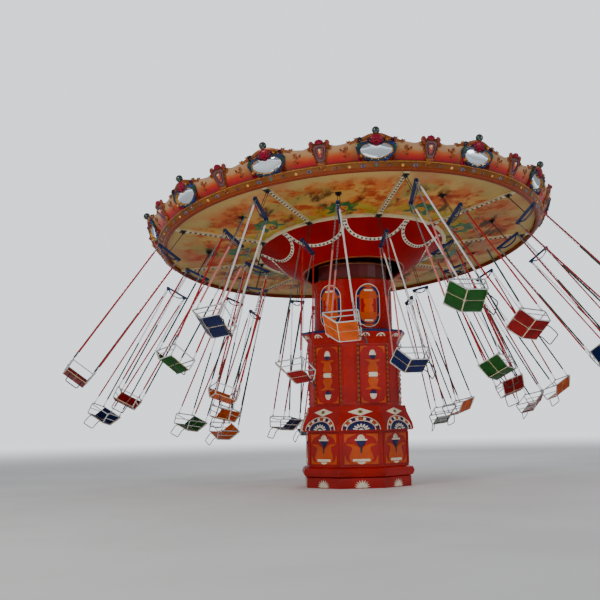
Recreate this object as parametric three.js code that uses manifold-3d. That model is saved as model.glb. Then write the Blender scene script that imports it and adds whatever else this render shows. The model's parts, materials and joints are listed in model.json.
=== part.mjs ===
// Chair swing ride: a decorated tower, a telescoping mast, a tilting canopy that turns on it and
// three rows of flying chairs. Millimetres, +Z up. The origin is the centre of the foundation face,
// and the tilted canopy is high on the near side, to the right of -Y.
import * as THREE from "three";
import { mergeVertices } from "three/addons/utils/BufferGeometryUtils.js";
import Module from "manifold-3d";

const wasm = await Module();
wasm.setup();

const deg = THREE.MathUtils.degToRad;

// Running gap between pieces that touch
const GAP = 0.3;

// Tower, from the ground up
const PLINTH_TOP = 240;
const MOULDING_TOP = 500;
const LOWER_TOP = 1340;
const BAND_TOP = 1930;
const UPPER_TOP = 3430;
const CORNICE_TOP = 3790;
const PLINTH_R = 1360;
const MOULDING_R = 1450;
const LOWER_R = 1310;
const BAND_LIP_R = 1455;
const BAND_NECK_R = 1265;
const UPPER_R = 1170;
const CORNICE_R = 1325;
const SHAFT_R = 1070;
const FLOOR_PLATE = 40;
const OCTAGON_TURN = 5;
const PANEL_TURN = 23.5;
const PANEL_ANGLE = 42;

// Mast
const MAST_R = 972;
const MAST_SIDES = 24;
const MAST_WALL = 60;
const MAST_FOOT = 1600;
const MAST_TOP = 5000;
const NECK_R = 850;
const NECK_TOP = 5420;

// Tilt head, measured from the tilt axis, and the turret's heading at rest
const TILT_Z = 5700;
const TILT = 10.6;
const HEADING = 19.2;
const LUG_IN = 350;
const LUG_OUT = 430;
const TRUNNION_R = 58;
const TRUNNION_SIDES = 16;
const HEAD_HALF = 110;
const THRUST_R = 260;
const THRUST_TOP = 160;
const SPINDLE_R = 150;
const SPINDLE_TOP = 700;

// Canopy, measured from the plane of the ceiling's edge
const CANOPY_Z = 370;
const TURN = -2.7;
const SECTORS = 9;
const FACETS = 36;
const EDGE_R = 4600;
const CEILING_IN_R = 2200;
const CEILING_SLOPE = 0.075;
const CEILING_T = 22;
const RIB_W = 120;
const RIB_T = 45;
const RIB_RING_R = 2296;
const RIB_RING_W = 90;
const ARM_Z = 24;
const ARM_H = 64;
const ARM_W = 80;
const HUB_R = 300;
const POST_R = 80;
const RIM_FOOT = -75;
const RIM_TOP = 90;
const ROOF_RISE = 760;

// Rounding boards
const FLATS = 26;
const BOARD_TURN = -8.9;
const BOARD_FOOT_R = 4790;
const BOARD_LEAN = 0.5;
const BOARD_T = 40;
const BOARD_DIP = 430;
const MIRROR_CREST = 620;
const LANTERN_CREST = 560;
const BALL_R = 75;
const BALL_Z = 670;

// Flanges and chairs: pivot radius, azimuth within the sector, swing at rest and seat depth
const PLATE = 140;
const PLATE_T = 16;
const LUG_W = 40;
const LUG_L = 60;
const LUG_H = 50;
const PIVOT_DROP = 34;
const ROWS = {
  outer: { radius: 4388, azimuth: 0, swing: 36.5, seat: 4450 },
  mid: { radius: 3554, azimuth: 20, swing: 31, seat: 4300 },
  inner: { radius: 2370, azimuth: 0, swing: 18.5, seat: 4050 },
};
const ROD = 16;
const ROD_X = LUG_W / 2 + 0.4 + ROD / 2;
const BAR_Z = 610;
const BAR_S = 56;
const CHAIN = 26;
const CHAIN_TOP_X = 32;
const CHAIN_FRONT_X = 220;
const CHAIN_REAR_X = -300;
const FRAME_Y = 275;
const TUBE = 30;
const RAIL_H = 300;
const RAIL_REAR_X = -400;
const RAIL_FRONT_X = 330;
const SEAT_REAR_X = -130;
const SEAT_FRONT_X = 290;
const SEAT_T = 30;
const FOOT_X = 420;
const FOOT_DROP = 270;
const FOOT_Y = 150;
const FOOT_T = 24;

const RED = 0xb3200f;
const ORANGE = 0xd9661a;
const BLUE = 0x1f4f9e;
const GREEN = 0x2f7d2e;
const SEAT_RED = 0xb01a20;
const SEAT_COLOURS = {
  outer: [GREEN, BLUE, BLUE, SEAT_RED, ORANGE, ORANGE, BLUE, SEAT_RED, BLUE],
  mid: [SEAT_RED, BLUE, ORANGE, GREEN, BLUE, GREEN, SEAT_RED, GREEN, ORANGE],
  inner: [BLUE, GREEN, SEAT_RED, ORANGE, GREEN, BLUE, ORANGE, ORANGE, SEAT_RED],
};

const paint = (color, roughness = 0.45, metalness = 0.0) =>
  new THREE.MeshStandardMaterial({ color, roughness, metalness });

// Solids and booleans

function asSolid(geometry) {
  const plain = new THREE.BufferGeometry();
  plain.setAttribute("position", geometry.getAttribute("position").clone());
  if (geometry.index) plain.setIndex(geometry.index.clone());
  const merged = mergeVertices(plain, 1e-3);
  const index = merged.index.array;
  const tri = [];
  for (let i = 0; i < index.length; i += 3) {
    const [a, b, c] = [index[i], index[i + 1], index[i + 2]];
    if (a !== b && b !== c && c !== a) tri.push(a, b, c);
  }
  const mesh = new wasm.Mesh({
    numProp: 3,
    vertProperties: Float32Array.from(merged.getAttribute("position").array),
    triVerts: Uint32Array.from(tri),
  });
  return new wasm.Manifold(mesh);
}

function asGeometry(solid) {
  const mesh = solid.getMesh();
  const geometry = new THREE.BufferGeometry();
  geometry.setAttribute("position", new THREE.BufferAttribute(mesh.vertProperties, 3));
  geometry.setIndex(new THREE.BufferAttribute(mesh.triVerts, 1));
  geometry.computeVertexNormals();
  return geometry;
}

function joined(geometries) {
  return asGeometry(geometries.map(asSolid).reduce((sum, next) => sum.add(next)));
}

function cut(geometry, tools) {
  return asGeometry(tools.map(asSolid).reduce((rest, tool) => rest.subtract(tool), asSolid(geometry)));
}

// Shapes

// Azimuths of a regular ring whose facets are centred on the first azimuth
function facets(count, centre = 0) {
  return Array.from({ length: count }, (_, i) => centre + (360 / count) * (i + 0.5));
}

// Six wide panels and six narrow pilasters
function panelCorners() {
  const corners = [];
  for (let i = 0; i < 6; i++) {
    corners.push(PANEL_TURN + 60 * i - PANEL_ANGLE / 2, PANEL_TURN + 60 * i + PANEL_ANGLE / 2);
  }
  return corners;
}

// A closed profile of [radius, height] carried round the axis through the given azimuths.
// The azimuth is measured from -Y towards +X, and the profile may change with it.
function turned(profile, azimuths) {
  const profileAt = typeof profile === "function" ? profile : () => profile;
  const positions = [];
  const steps = azimuths.length;
  let points = 0;
  for (const azimuth of azimuths) {
    const outline = profileAt(azimuth);
    points = outline.length;
    for (const [r, z] of outline) {
      positions.push(r * Math.sin(deg(azimuth)), -r * Math.cos(deg(azimuth)), z);
    }
  }
  const index = [];
  for (let s = 0; s < steps; s++) {
    const here = s * points;
    const next = ((s + 1) % steps) * points;
    for (let p = 0; p < points; p++) {
      const q = (p + 1) % points;
      index.push(here + p, next + p, next + q, here + p, next + q, here + q);
    }
  }
  const geometry = new THREE.BufferGeometry();
  geometry.setAttribute("position", new THREE.Float32BufferAttribute(positions, 3));
  geometry.setIndex(index);
  return asGeometry(asSolid(geometry));
}

const outlined = (points) => new THREE.Shape(points.map(([x, y]) => new THREE.Vector2(x, y)));

// A shape in the plane of radius and height, as thick as width, lying towards the near side
function slab(outline, width) {
  return new THREE.ExtrudeGeometry(outlined(outline), { depth: width, bevelEnabled: false })
    .translate(0, 0, -width / 2)
    .applyMatrix4(
      new THREE.Matrix4().makeBasis(
        new THREE.Vector3(0, -1, 0),
        new THREE.Vector3(0, 0, 1),
        new THREE.Vector3(-1, 0, 0),
      ),
    );
}

// A shape in the plane of X and Z, as thick as width along Y
function sideways(shape, width) {
  return new THREE.ExtrudeGeometry(shape, { depth: width, bevelEnabled: false })
    .translate(0, 0, -width / 2)
    .rotateX(Math.PI / 2);
}

function block(low, high) {
  const size = high.map((value, i) => value - low[i]);
  return new THREE.BoxGeometry(...size).translate(...low.map((value, i) => value + size[i] / 2));
}

// A square bar between two points, with one of its flats facing sideways
function bar(from, to, width, height = width) {
  const a = new THREE.Vector3(...from);
  const b = new THREE.Vector3(...to);
  const along = b.clone().sub(a);
  const helper = new THREE.Object3D();
  helper.up.set(0, 1, 0);
  helper.position.copy(a).lerp(b, 0.5);
  helper.lookAt(b);
  helper.updateMatrix();
  return new THREE.BoxGeometry(width, height, along.length()).applyMatrix4(helper.matrix);
}

const around = (geometry, azimuth) => geometry.clone().rotateZ(deg(azimuth));

// Tower

function basePlinth() {
  const outline = [
    [0, 0],
    [PLINTH_R, 0],
    [PLINTH_R, PLINTH_TOP],
    [SHAFT_R, PLINTH_TOP],
    [SHAFT_R, FLOOR_PLATE],
    [0, FLOOR_PLATE],
  ];
  return turned(outline, facets(8, OCTAGON_TURN));
}

function baseMoulding() {
  const outline = [[SHAFT_R, PLINTH_TOP + GAP]];
  const middle = (PLINTH_TOP + MOULDING_TOP) / 2;
  const half = (MOULDING_TOP - PLINTH_TOP) / 2 - GAP;
  for (let i = 0; i <= 4; i++) {
    const turn = deg(-90 + 45 * i);
    outline.push([LOWER_R + (MOULDING_R - LOWER_R) * Math.cos(turn), middle + half * Math.sin(turn)]);
  }
  outline.push([SHAFT_R, MOULDING_TOP - GAP]);
  return turned(outline, facets(8, OCTAGON_TURN));
}

function lowerTower() {
  const outline = [
    [SHAFT_R, MOULDING_TOP],
    [LOWER_R, MOULDING_TOP],
    [LOWER_R, LOWER_TOP],
    [SHAFT_R, LOWER_TOP],
  ];
  return turned(outline, facets(8, OCTAGON_TURN));
}

function midBand() {
  const foot = LOWER_TOP + GAP;
  const outline = [
    [SHAFT_R, foot],
    [BAND_LIP_R - 30, foot],
    [BAND_LIP_R, foot + 40],
    [BAND_LIP_R - 25, foot + 170],
    [BAND_NECK_R + 35, BAND_TOP - 150],
    [BAND_NECK_R, BAND_TOP],
    [SHAFT_R, BAND_TOP],
  ];
  return turned(outline, facets(8, OCTAGON_TURN));
}

function upperTower() {
  const outline = [
    [SHAFT_R - 20, BAND_TOP + GAP],
    [UPPER_R, BAND_TOP + GAP],
    [UPPER_R, UPPER_TOP],
    [SHAFT_R - 20, UPPER_TOP],
  ];
  return turned(outline, panelCorners());
}

// The flared cap of the tower, whose bore guides the mast
function towerCornice() {
  const foot = UPPER_TOP + GAP;
  const outline = [
    [0, foot],
    [UPPER_R - 10, foot],
    [UPPER_R + 20, foot + 90],
    [CORNICE_R - 20, CORNICE_TOP - 110],
    [CORNICE_R, CORNICE_TOP - 70],
    [CORNICE_R, CORNICE_TOP - 40],
    [MAST_R + 60, CORNICE_TOP],
    [0, CORNICE_TOP],
  ];
  const bore = turned(
    [
      [0, foot - 50],
      [MAST_R + 2 * GAP, foot - 50],
      [MAST_R + 2 * GAP, CORNICE_TOP + 50],
      [0, CORNICE_TOP + 50],
    ],
    facets(MAST_SIDES),
  );
  return cut(turned(outline, panelCorners()), [bore]);
}

// Mast and tilt head

function mastColumn() {
  const outline = [
    [0, MAST_TOP],
    [0, MAST_TOP - MAST_WALL],
    [MAST_R - MAST_WALL, MAST_TOP - MAST_WALL],
    [MAST_R - MAST_WALL, MAST_FOOT],
    [MAST_R, MAST_FOOT],
    [MAST_R, MAST_TOP],
  ];
  return turned(outline, facets(MAST_SIDES));
}

// Turntable on the mast: a clad neck with two lugs that hold the tilt axis
function mastTurret() {
  const foot = MAST_TOP + GAP;
  const wall = 50;
  const shell = turned(
    [
      [0, foot],
      [NECK_R, foot],
      [NECK_R, NECK_TOP],
      [NECK_R - wall, NECK_TOP],
      [NECK_R - wall, foot + wall],
      [0, foot + wall],
    ],
    facets(MAST_SIDES),
  );
  const lug = (side) =>
    block(
      [side > 0 ? LUG_IN : -LUG_OUT, -130, foot + 20],
      [side > 0 ? LUG_OUT : -LUG_IN, 130, TILT_Z + 120],
    );
  const boreR = (TRUNNION_R + GAP) / Math.cos(deg(180 / TRUNNION_SIDES));
  const bore = new THREE.CylinderGeometry(boreR, boreR, 2 * LUG_OUT + 40, TRUNNION_SIDES)
    .rotateZ(Math.PI / 2)
    .translate(0, 0, TILT_Z);
  return cut(joined([shell, lug(1), lug(-1)]), [bore]);
}

// Head block with trunnions, a thrust collar and the spindle that the canopy turns on
function tiltHead() {
  const half = HEAD_HALF;
  const body = block([-LUG_IN + 5, -half, -half], [LUG_IN - 5, half, half]);
  const trunnion = new THREE.CylinderGeometry(TRUNNION_R, TRUNNION_R, 2 * LUG_OUT, TRUNNION_SIDES)
    .rotateZ(Math.PI / 2);
  const post = turned(
    [
      [0, 0],
      [THRUST_R - 60, 0],
      [THRUST_R, THRUST_TOP - 40],
      [THRUST_R, THRUST_TOP],
      [SPINDLE_R, THRUST_TOP],
      [SPINDLE_R, SPINDLE_TOP],
      [0, SPINDLE_TOP],
    ],
    facets(16),
  );
  return joined([body, trunnion, post]);
}

// Canopy

// Height of the ceiling's underside at a corner radius
const ceilingZ = (r) => -(EDGE_R - r) * CEILING_SLOPE;

// The same at a distance measured square to a facet
const facetZ = (distance) => ceilingZ(distance / Math.cos(deg(180 / FACETS)));

function canopyFrame() {
  const foot = THRUST_TOP + GAP - CANOPY_Z;
  const top = SPINDLE_TOP + 40 - CANOPY_Z;
  const postTop = RIM_TOP + ROOF_RISE * (1 - POST_R / EDGE_R) - GAP;
  const inner = SPINDLE_R + 8;
  const hub = turned(
    [
      [inner, foot],
      [HUB_R, foot],
      [HUB_R, top],
      [POST_R, top + 60],
      [POST_R, postTop],
      [0, postTop],
      [0, top - 20],
      [inner, top - 20],
    ],
    facets(18),
  );
  const reach = EDGE_R * Math.cos(deg(180 / FACETS));
  const arms = [];
  for (let i = 0; i < 2 * SECTORS; i++) {
    const arm = block([-ARM_W / 2, -reach, ARM_Z], [ARM_W / 2, -HUB_R + 30, ARM_Z + ARM_H]);
    arms.push(around(arm, 20 * i));
  }
  return joined([hub, ...arms]);
}

function centreBowl() {
  const lip = ceilingZ(CEILING_IN_R) - GAP;
  const inside = [
    [CEILING_IN_R - 30, lip - 5],
    [2020, -300],
    [1680, -565],
    [1200, -800],
  ];
  const outside = [
    [1200, -830],
    [1330, -800],
    [1700, -600],
    [2050, -330],
    [RIB_RING_R - 6, lip - 40],
    [RIB_RING_R - 6, ceilingZ(RIB_RING_R - 6) - GAP],
  ];
  return turned([...inside, ...outside], facets(FACETS));
}

// Plate and lug that a chair hangs from, with the plate's top at the given height
function flange(distance, z) {
  const plate = block(
    [-PLATE / 2, -distance - PLATE / 2, z - PLATE_T],
    [PLATE / 2, -distance + PLATE / 2, z + 4],
  );
  const lug = block(
    [-LUG_W / 2, -distance - LUG_L / 2, z - PLATE_T - LUG_H],
    [LUG_W / 2, -distance + LUG_L / 2, z - PLATE_T + 2],
  );
  return joined([plate, lug]);
}

// Height of a row's plate: under the light ribs, or straight under the ceiling in the middle row
function plateZ(row) {
  const { radius, azimuth } = ROWS[row];
  return facetZ(radius) - (azimuth === 0 ? GAP + RIB_T : 0);
}

const pivotZ = (row) => plateZ(row) - PLATE_T - PIVOT_DROP;

function ceilingPanels() {
  const shell = turned(
    [
      [CEILING_IN_R, ceilingZ(CEILING_IN_R)],
      [EDGE_R, 0],
      [EDGE_R, CEILING_T],
      [CEILING_IN_R, ceilingZ(CEILING_IN_R) + CEILING_T],
    ],
    facets(FACETS),
  );
  const plates = [];
  for (let i = 0; i < SECTORS; i++) {
    plates.push(around(flange(ROWS.mid.radius, plateZ("mid")), 40 * i + ROWS.mid.azimuth));
  }
  return joined([shell, ...plates]);
}

function ceilingRibs() {
  const drop = (r) => ceilingZ(r) - GAP;
  const ring = turned(
    [
      [RIB_RING_R, drop(RIB_RING_R)],
      [RIB_RING_R, drop(RIB_RING_R) - RIB_T],
      [RIB_RING_R + RIB_RING_W, drop(RIB_RING_R + RIB_RING_W) - RIB_T],
      [RIB_RING_R + RIB_RING_W, drop(RIB_RING_R + RIB_RING_W)],
    ],
    facets(FACETS),
  );
  const start = RIB_RING_R + 20;
  const end = EDGE_R * Math.cos(deg(180 / FACETS)) - 3;
  const rib = slab(
    [
      [start, facetZ(start) - GAP - RIB_T + 1],
      [end, facetZ(end) - GAP - RIB_T + 1],
      [end, facetZ(end) - GAP],
      [start, facetZ(start) - GAP],
    ],
    RIB_W,
  );
  const outer = flange(ROWS.outer.radius, plateZ("outer"));
  const inner = flange(ROWS.inner.radius, plateZ("inner"));
  const pieces = [ring];
  for (let i = 0; i < SECTORS; i++) {
    pieces.push(around(rib, 40 * i), around(outer, 40 * i), around(inner, 40 * i));
  }
  return joined(pieces);
}

function rimCornice() {
  const inner = EDGE_R + GAP;
  return turned(
    [
      [inner, RIM_FOOT],
      [EDGE_R + 55, RIM_FOOT],
      [EDGE_R + 85, RIM_FOOT + 25],
      [EDGE_R + 135, 0],
      [BOARD_FOOT_R - 5, 60],
      [BOARD_FOOT_R + 25, RIM_TOP - 15],
      [BOARD_FOOT_R + 25, RIM_TOP],
      [inner, RIM_TOP],
    ],
    facets(FACETS),
  );
}

const boardR = (z) => BOARD_FOOT_R + (z - RIM_TOP) * BOARD_LEAN;

// Height of the boards' wavy top edge: a high crest over each mirror, a lesser one over each lantern
function boardTop(azimuth) {
  const pair = (2 * 360) / FLATS;
  const fromMirror = Math.abs(((((azimuth - BOARD_TURN) % pair) + 1.5 * pair) % pair) - pair / 2);
  const mirrorCrest = Math.max(0, 1 - fromMirror / 6.5) ** 0.8;
  const lanternCrest = Math.max(0, 1 - (pair / 2 - fromMirror) / 4) ** 0.8;
  return BOARD_DIP + (MIRROR_CREST - BOARD_DIP) * mirrorCrest + (LANTERN_CREST - BOARD_DIP) * lanternCrest;
}

// The ring of boards that leans outward on the rim, with a ball on each mirror's crest
function roundingBoards() {
  const steps = 4 * FLATS;
  const foot = RIM_TOP + GAP;
  const ring = turned(
    (azimuth) => {
      const top = boardTop(azimuth);
      return [
        [boardR(foot) - BOARD_T, foot],
        [boardR(foot), foot],
        [boardR(top), top],
        [boardR(top) - BOARD_T, top],
      ];
    },
    Array.from({ length: steps }, (_, i) => BOARD_TURN + (360 / steps) * i),
  );
  const onCrest = (z) => [0, -boardR(z) + BOARD_T / 2, z];
  const ball = new THREE.SphereGeometry(BALL_R, 6, 4).translate(...onCrest(BALL_Z));
  const stem = bar(onCrest(MIRROR_CREST - 60), onCrest(BALL_Z), 56);
  const finial = joined([stem, ball]);
  const pieces = [ring];
  for (let i = 0; i < FLATS; i += 2) {
    pieces.push(around(finial, BOARD_TURN + (360 / FLATS) * i));
  }
  return joined(pieces);
}

function roofCover() {
  const edge = BOARD_FOOT_R - BOARD_T - 5;
  const foot = RIM_TOP + GAP;
  return turned(
    [
      [0, RIM_TOP + ROOF_RISE],
      [EDGE_R, foot],
      [edge, foot],
      [edge, foot + 30],
      [0, RIM_TOP + ROOF_RISE + 30],
    ],
    facets(FACETS),
  );
}

function roofFinial() {
  const foot = RIM_TOP + ROOF_RISE + 30 + GAP;
  return turned(
    [
      [0, foot],
      [40, foot],
      [40, foot + 30],
      [90, foot + 110],
      [70, foot + 190],
      [25, foot + 230],
      [0, foot + 300],
    ],
    facets(12),
  );
}

// Chair in its own frame: the pivot at the origin, +X forward, -Y outward, hanging straight down
function chair(seatDepth) {
  const seatZ = -seatDepth;
  const barHalf = FRAME_Y + 45;
  const crossbar = block([-45, -barHalf, -BAR_Z - BAR_S / 2], [45, barHalf, -BAR_Z + BAR_S / 2]);
  const rods = [-ROD_X, ROD_X].map((x) =>
    block([x - ROD / 2, -ROD / 2, -BAR_Z], [x + ROD / 2, ROD / 2, ROD / 2]),
  );
  const sides = [sideFrame(seatZ, 1), sideFrame(seatZ, -1)];
  return joined([crossbar, ...rods, ...sides, seatShell(seatZ), footRest(seatZ)]);
}

// One side: front and rear chain, the arm rail, and the tube that bends down to the seat's front
function sideFrame(seatZ, side) {
  const half = TUBE / 2;
  const railZ = seatZ + RAIL_H;
  const w = CHAIN / 2;
  const shape = outlined([
    [RAIL_REAR_X, railZ - half],
    [RAIL_FRONT_X - TUBE, railZ - half],
    [SEAT_FRONT_X - TUBE, seatZ + 2],
    [SEAT_FRONT_X + 4, seatZ + 2],
    [RAIL_FRONT_X, railZ + half],
    [CHAIN_FRONT_X + w, railZ + half],
    [CHAIN_TOP_X + w, -BAR_Z],
    [-CHAIN_TOP_X - w, -BAR_Z],
    [CHAIN_REAR_X - w, railZ + half],
    [RAIL_REAR_X, railZ + half],
  ]);
  shape.holes.push(
    outlined([
      [CHAIN_FRONT_X - w, railZ + half + 2],
      [CHAIN_REAR_X + w, railZ + half + 2],
      [-CHAIN_TOP_X + w, -BAR_Z - BAR_S],
      [CHAIN_TOP_X - w, -BAR_Z - BAR_S],
    ]),
  );
  return sideways(shape, CHAIN).translate(0, side * FRAME_Y, 0);
}

// Seat pan and reclined back as one bent panel
function seatShell(seatZ) {
  const backTop = seatZ + RAIL_H + 6;
  const shape = outlined([
    [SEAT_FRONT_X, seatZ],
    [SEAT_FRONT_X, seatZ + SEAT_T],
    [SEAT_REAR_X + SEAT_T * 0.6, seatZ + SEAT_T],
    [RAIL_REAR_X + SEAT_T, backTop],
    [RAIL_REAR_X, backTop],
    [SEAT_REAR_X, seatZ],
  ]);
  return sideways(shape, 2 * FRAME_Y);
}

// Foot bar: a hoop that reaches forward and down from the front of the seat
function footRest(seatZ) {
  const reach = FOOT_X - SEAT_FRONT_X + 20;
  const length = Math.hypot(reach, FOOT_DROP);
  const outer = FOOT_Y + FOOT_T / 2;
  const inner = FOOT_Y - FOOT_T / 2;
  const hoop = outlined([
    [-outer, 0],
    [-inner, 0],
    [-inner, length - FOOT_T],
    [inner, length - FOOT_T],
    [inner, 0],
    [outer, 0],
    [outer, length],
    [-outer, length],
  ]);
  const along = new THREE.Vector3(reach, 0, -FOOT_DROP).normalize();
  const across = new THREE.Vector3(0, 1, 0);
  return new THREE.ExtrudeGeometry(hoop, { depth: FOOT_T, bevelEnabled: false })
    .translate(0, 0, -FOOT_T / 2)
    .applyMatrix4(new THREE.Matrix4().makeBasis(across, along, across.clone().cross(along)))
    .translate(SEAT_FRONT_X - 20, 0, seatZ + SEAT_T / 2);
}

// Assembly

function piece(name, geometry, material) {
  const mesh = new THREE.Mesh(geometry, material);
  mesh.name = name;
  return mesh;
}

const ride = new THREE.Group();
ride.add(
  piece("base_plinth", basePlinth(), paint(RED)),
  piece("base_moulding", baseMoulding(), paint(RED)),
  piece("lower_tower", lowerTower(), paint(RED)),
  piece("mid_band", midBand(), paint(RED)),
  piece("upper_tower", upperTower(), paint(RED)),
  piece("tower_cornice", towerCornice(), paint(0x232a60)),
  piece("mast_column", mastColumn(), paint(RED)),
);

const turret = new THREE.Group();
turret.rotation.z = deg(HEADING);
ride.add(turret);
turret.add(piece("mast_turret", mastTurret(), paint(0x7c150c)));

const tiltGroup = new THREE.Group();
tiltGroup.position.z = TILT_Z;
tiltGroup.rotation.x = -deg(TILT);
turret.add(tiltGroup);
tiltGroup.add(piece("tilt_head", tiltHead(), paint(0x4a4d52, 0.4, 0.8)));

const canopy = new THREE.Group();
canopy.position.z = CANOPY_Z;
canopy.rotation.z = deg(TURN);
tiltGroup.add(canopy);
canopy.add(
  piece("canopy_frame", canopyFrame(), paint(0x5b4a3a, 0.5, 0.5)),
  piece("centre_bowl", centreBowl(), paint(0x9c1414)),
  piece("ceiling_panels", ceilingPanels(), paint(0xd0a445, 0.6)),
  piece("ceiling_ribs", ceilingRibs(), paint(0xcdbb94, 0.6)),
  piece("rim_cornice", rimCornice(), paint(0xa0632a)),
  piece("rounding_boards", roundingBoards(), paint(0xd67a3c)),
  piece("roof_cover", roofCover(), paint(0xb9862f, 0.7)),
  piece("roof_finial", roofFinial(), paint(0xc99a34, 0.3, 0.6)),
);

for (const [row, { radius, azimuth, swing, seat }] of Object.entries(ROWS)) {
  const geometry = chair(seat);
  for (let i = 0; i < SECTORS; i++) {
    const arm = new THREE.Group();
    arm.rotation.z = deg(40 * i + azimuth);
    const hung = piece(`chair_${row}_${i + 1}`, geometry, paint(SEAT_COLOURS[row][i], 0.4));
    hung.position.set(0, -radius, pivotZ(row));
    hung.rotation.x = -deg(swing);
    arm.add(hung);
    canopy.add(arm);
  }
}

export default ride;
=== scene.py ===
"""Looks of a chair swing ride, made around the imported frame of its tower, mast, canopy and chairs."""

import json
import math
from itertools import product

import bmesh
import bpy
import numpy as np
from bpy.props import FloatProperty, FloatVectorProperty, IntProperty, PointerProperty
from mathutils import Matrix, Vector
from mathutils.bvhtree import BVHTree


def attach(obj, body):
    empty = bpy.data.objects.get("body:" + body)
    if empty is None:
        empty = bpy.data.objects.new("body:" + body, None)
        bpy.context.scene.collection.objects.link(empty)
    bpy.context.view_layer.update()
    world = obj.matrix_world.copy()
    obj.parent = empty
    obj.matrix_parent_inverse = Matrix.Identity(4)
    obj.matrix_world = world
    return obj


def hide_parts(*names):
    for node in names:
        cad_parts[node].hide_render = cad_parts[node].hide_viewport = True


bl_info = {
    "name": "Chair swing ride",
    "version": (1, 0, 0),
    "blender": (4, 5, 0),
    "location": "View3D > Sidebar > Ride",
    "description": "Makes the ornament, lamps, mirrors, chairs and finishes of a chair swing ride",
    "category": "Add Mesh",
}

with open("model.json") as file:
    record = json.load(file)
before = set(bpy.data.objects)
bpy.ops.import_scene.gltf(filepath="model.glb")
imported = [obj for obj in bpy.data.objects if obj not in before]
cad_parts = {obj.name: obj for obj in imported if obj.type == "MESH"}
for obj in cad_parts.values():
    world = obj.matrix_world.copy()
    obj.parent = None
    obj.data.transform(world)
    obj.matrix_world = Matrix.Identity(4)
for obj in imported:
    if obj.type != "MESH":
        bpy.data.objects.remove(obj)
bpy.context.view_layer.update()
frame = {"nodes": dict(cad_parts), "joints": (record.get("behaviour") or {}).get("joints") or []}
JOINTS = {joint["name"]: joint for joint in frame["joints"]}

ROWS = ("outer", "mid", "inner")
RIB_STEP = 40
RIB_AZIMUTHS = range(0, 360, RIB_STEP)
MIRRORS = 13
MIRROR_STEP = 360 / MIRRORS
FACET_STEP = 10
IDENTITY = Matrix()

# Azimuths that the sides of the tower face
LOWER_SIDES = [5 + 45 * k for k in range(8)]
WIDE_SIDES = [23.5 + 60 * k for k in range(6)]
NARROW_SIDES = [53.5 + 60 * k for k in range(6)]


# Frame of the canopy and of each chair

def node_points(name, place=IDENTITY):
    """Corners of a CAD node, seen from another frame."""
    mesh = frame["nodes"][name].data
    points = np.empty(len(mesh.vertices) * 3)
    mesh.vertices.foreach_get("co", points)
    return moved(points.reshape(-1, 3), place.inverted())


def moved(points, matrix):
    """Points carried by a matrix."""
    turn = np.array(matrix.to_3x3())
    return np.asarray(points, float) @ turn.T + np.array(matrix.translation)


def radius_of(points):
    return np.hypot(points[:, 0], points[:, 1])


def canopy_frame():
    """Frame on the spin axis, level with the ceiling's edge, whose -Y points along the first rib."""
    pivot = Vector(JOINTS["canopy_spin"]["pos_m"])
    up = Vector(JOINTS["canopy_spin"]["axis"])
    leaning = Matrix.Translation(pivot) @ Vector((0, 0, 1)).rotation_difference(up).to_matrix().to_4x4()
    ceiling = node_points("ceiling_panels", leaning)
    widest = radius_of(ceiling) > radius_of(ceiling).max() - 1e-3
    edge = ceiling[widest][:, 2].min()
    first = leaning.inverted() @ Vector(JOINTS["outer_swing_1"]["pos_m"])
    turn = math.atan2(first.x, -first.y)
    return leaning @ Matrix.Rotation(turn, 4, "Z") @ Matrix.Translation((0, 0, edge))


CANOPY = canopy_frame()
CANOPY_UP = CANOPY.to_3x3() @ Vector((0, 0, 1))


def chair_frame(row, number):
    """Frame of a flying chair: the pivot at the origin, +X forward, -Y outward and -Z down its chains."""
    joint = JOINTS[f"{row}_swing_{number}"]
    forward = -Vector(joint["axis"])
    inward = CANOPY_UP.cross(forward)
    level = Matrix((forward, inward, CANOPY_UP)).transposed().to_4x4()
    swing = Matrix.Rotation(math.radians(joint["range_deg"][0]), 4, "X")
    return Matrix.Translation(joint["pos_m"]) @ level @ swing


def seat_height(row):
    """Height of the seat's underside in the chair's frame, from the rear end of the arm rail."""
    points = node_points(f"chair_{row}_1", chair_frame(row, 1))
    rear = points[points[:, 0] < points[:, 0].min() + 0.002]
    return rear[:, 2].min() + TUBE_BOX / 2 - RAIL_RISE


# Chair sizes that its solids share with the drawn pieces
RAIL_RISE = 0.300
TUBE_BOX = 0.030
FRAME_HALF = 0.275
SEAT_FRONT = 0.290
SEAT_REAR = -0.130
RAIL_FRONT = 0.330
RAIL_REAR = -0.400
CHAIN_FRONT = 0.220
CHAIN_REAR = -0.300
BAR_DROP = 0.610
BAR_HALF = 0.320
ROD_OUT = 0.0284
FOOT_REACH = 0.420
FOOT_DROP = 0.270
FOOT_HALF = 0.150

# Canopy sizes that its solids share with the drawn pieces
EDGE_R = 4.600
CEILING_SLOPE = 0.075
RIM_FOOT = -0.075
RIM_TOP = 0.090
BOARD_FOOT_R = 4.790
BOARD_LEAN = 0.5
BOARD_T = 0.040
MIRROR_AZIMUTH = -8.9
MIRROR_AZIMUTHS = [MIRROR_AZIMUTH + MIRROR_STEP * k for k in range(MIRRORS)]
BALL_HEIGHT = 0.670

# Painted cartouches of the mast
CARTOUCHE_HALF = 0.325
CARTOUCHE_LOW = 4.14
CARTOUCHE_MIDDLE = 4.345
CARTOUCHE_HIGH = 4.55
MAST_PAINT_R = 0.964


def tint(base):
    """Linear colour of a hexadecimal one. Any other colour stays as it is."""
    if not isinstance(base, str):
        return tuple(base)
    parts = [int(base[i:i + 2], 16) / 255 for i in (0, 2, 4)]
    return tuple(p / 12.92 if p <= 0.04045 else ((p + 0.055) / 1.055) ** 2.4 for p in parts)


def colour(name, code):
    return FloatVectorProperty(
        name=name, description=f"{name} of the ride", subtype="COLOR", size=3, min=0, max=1,
        default=tint(code),
    )


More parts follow.
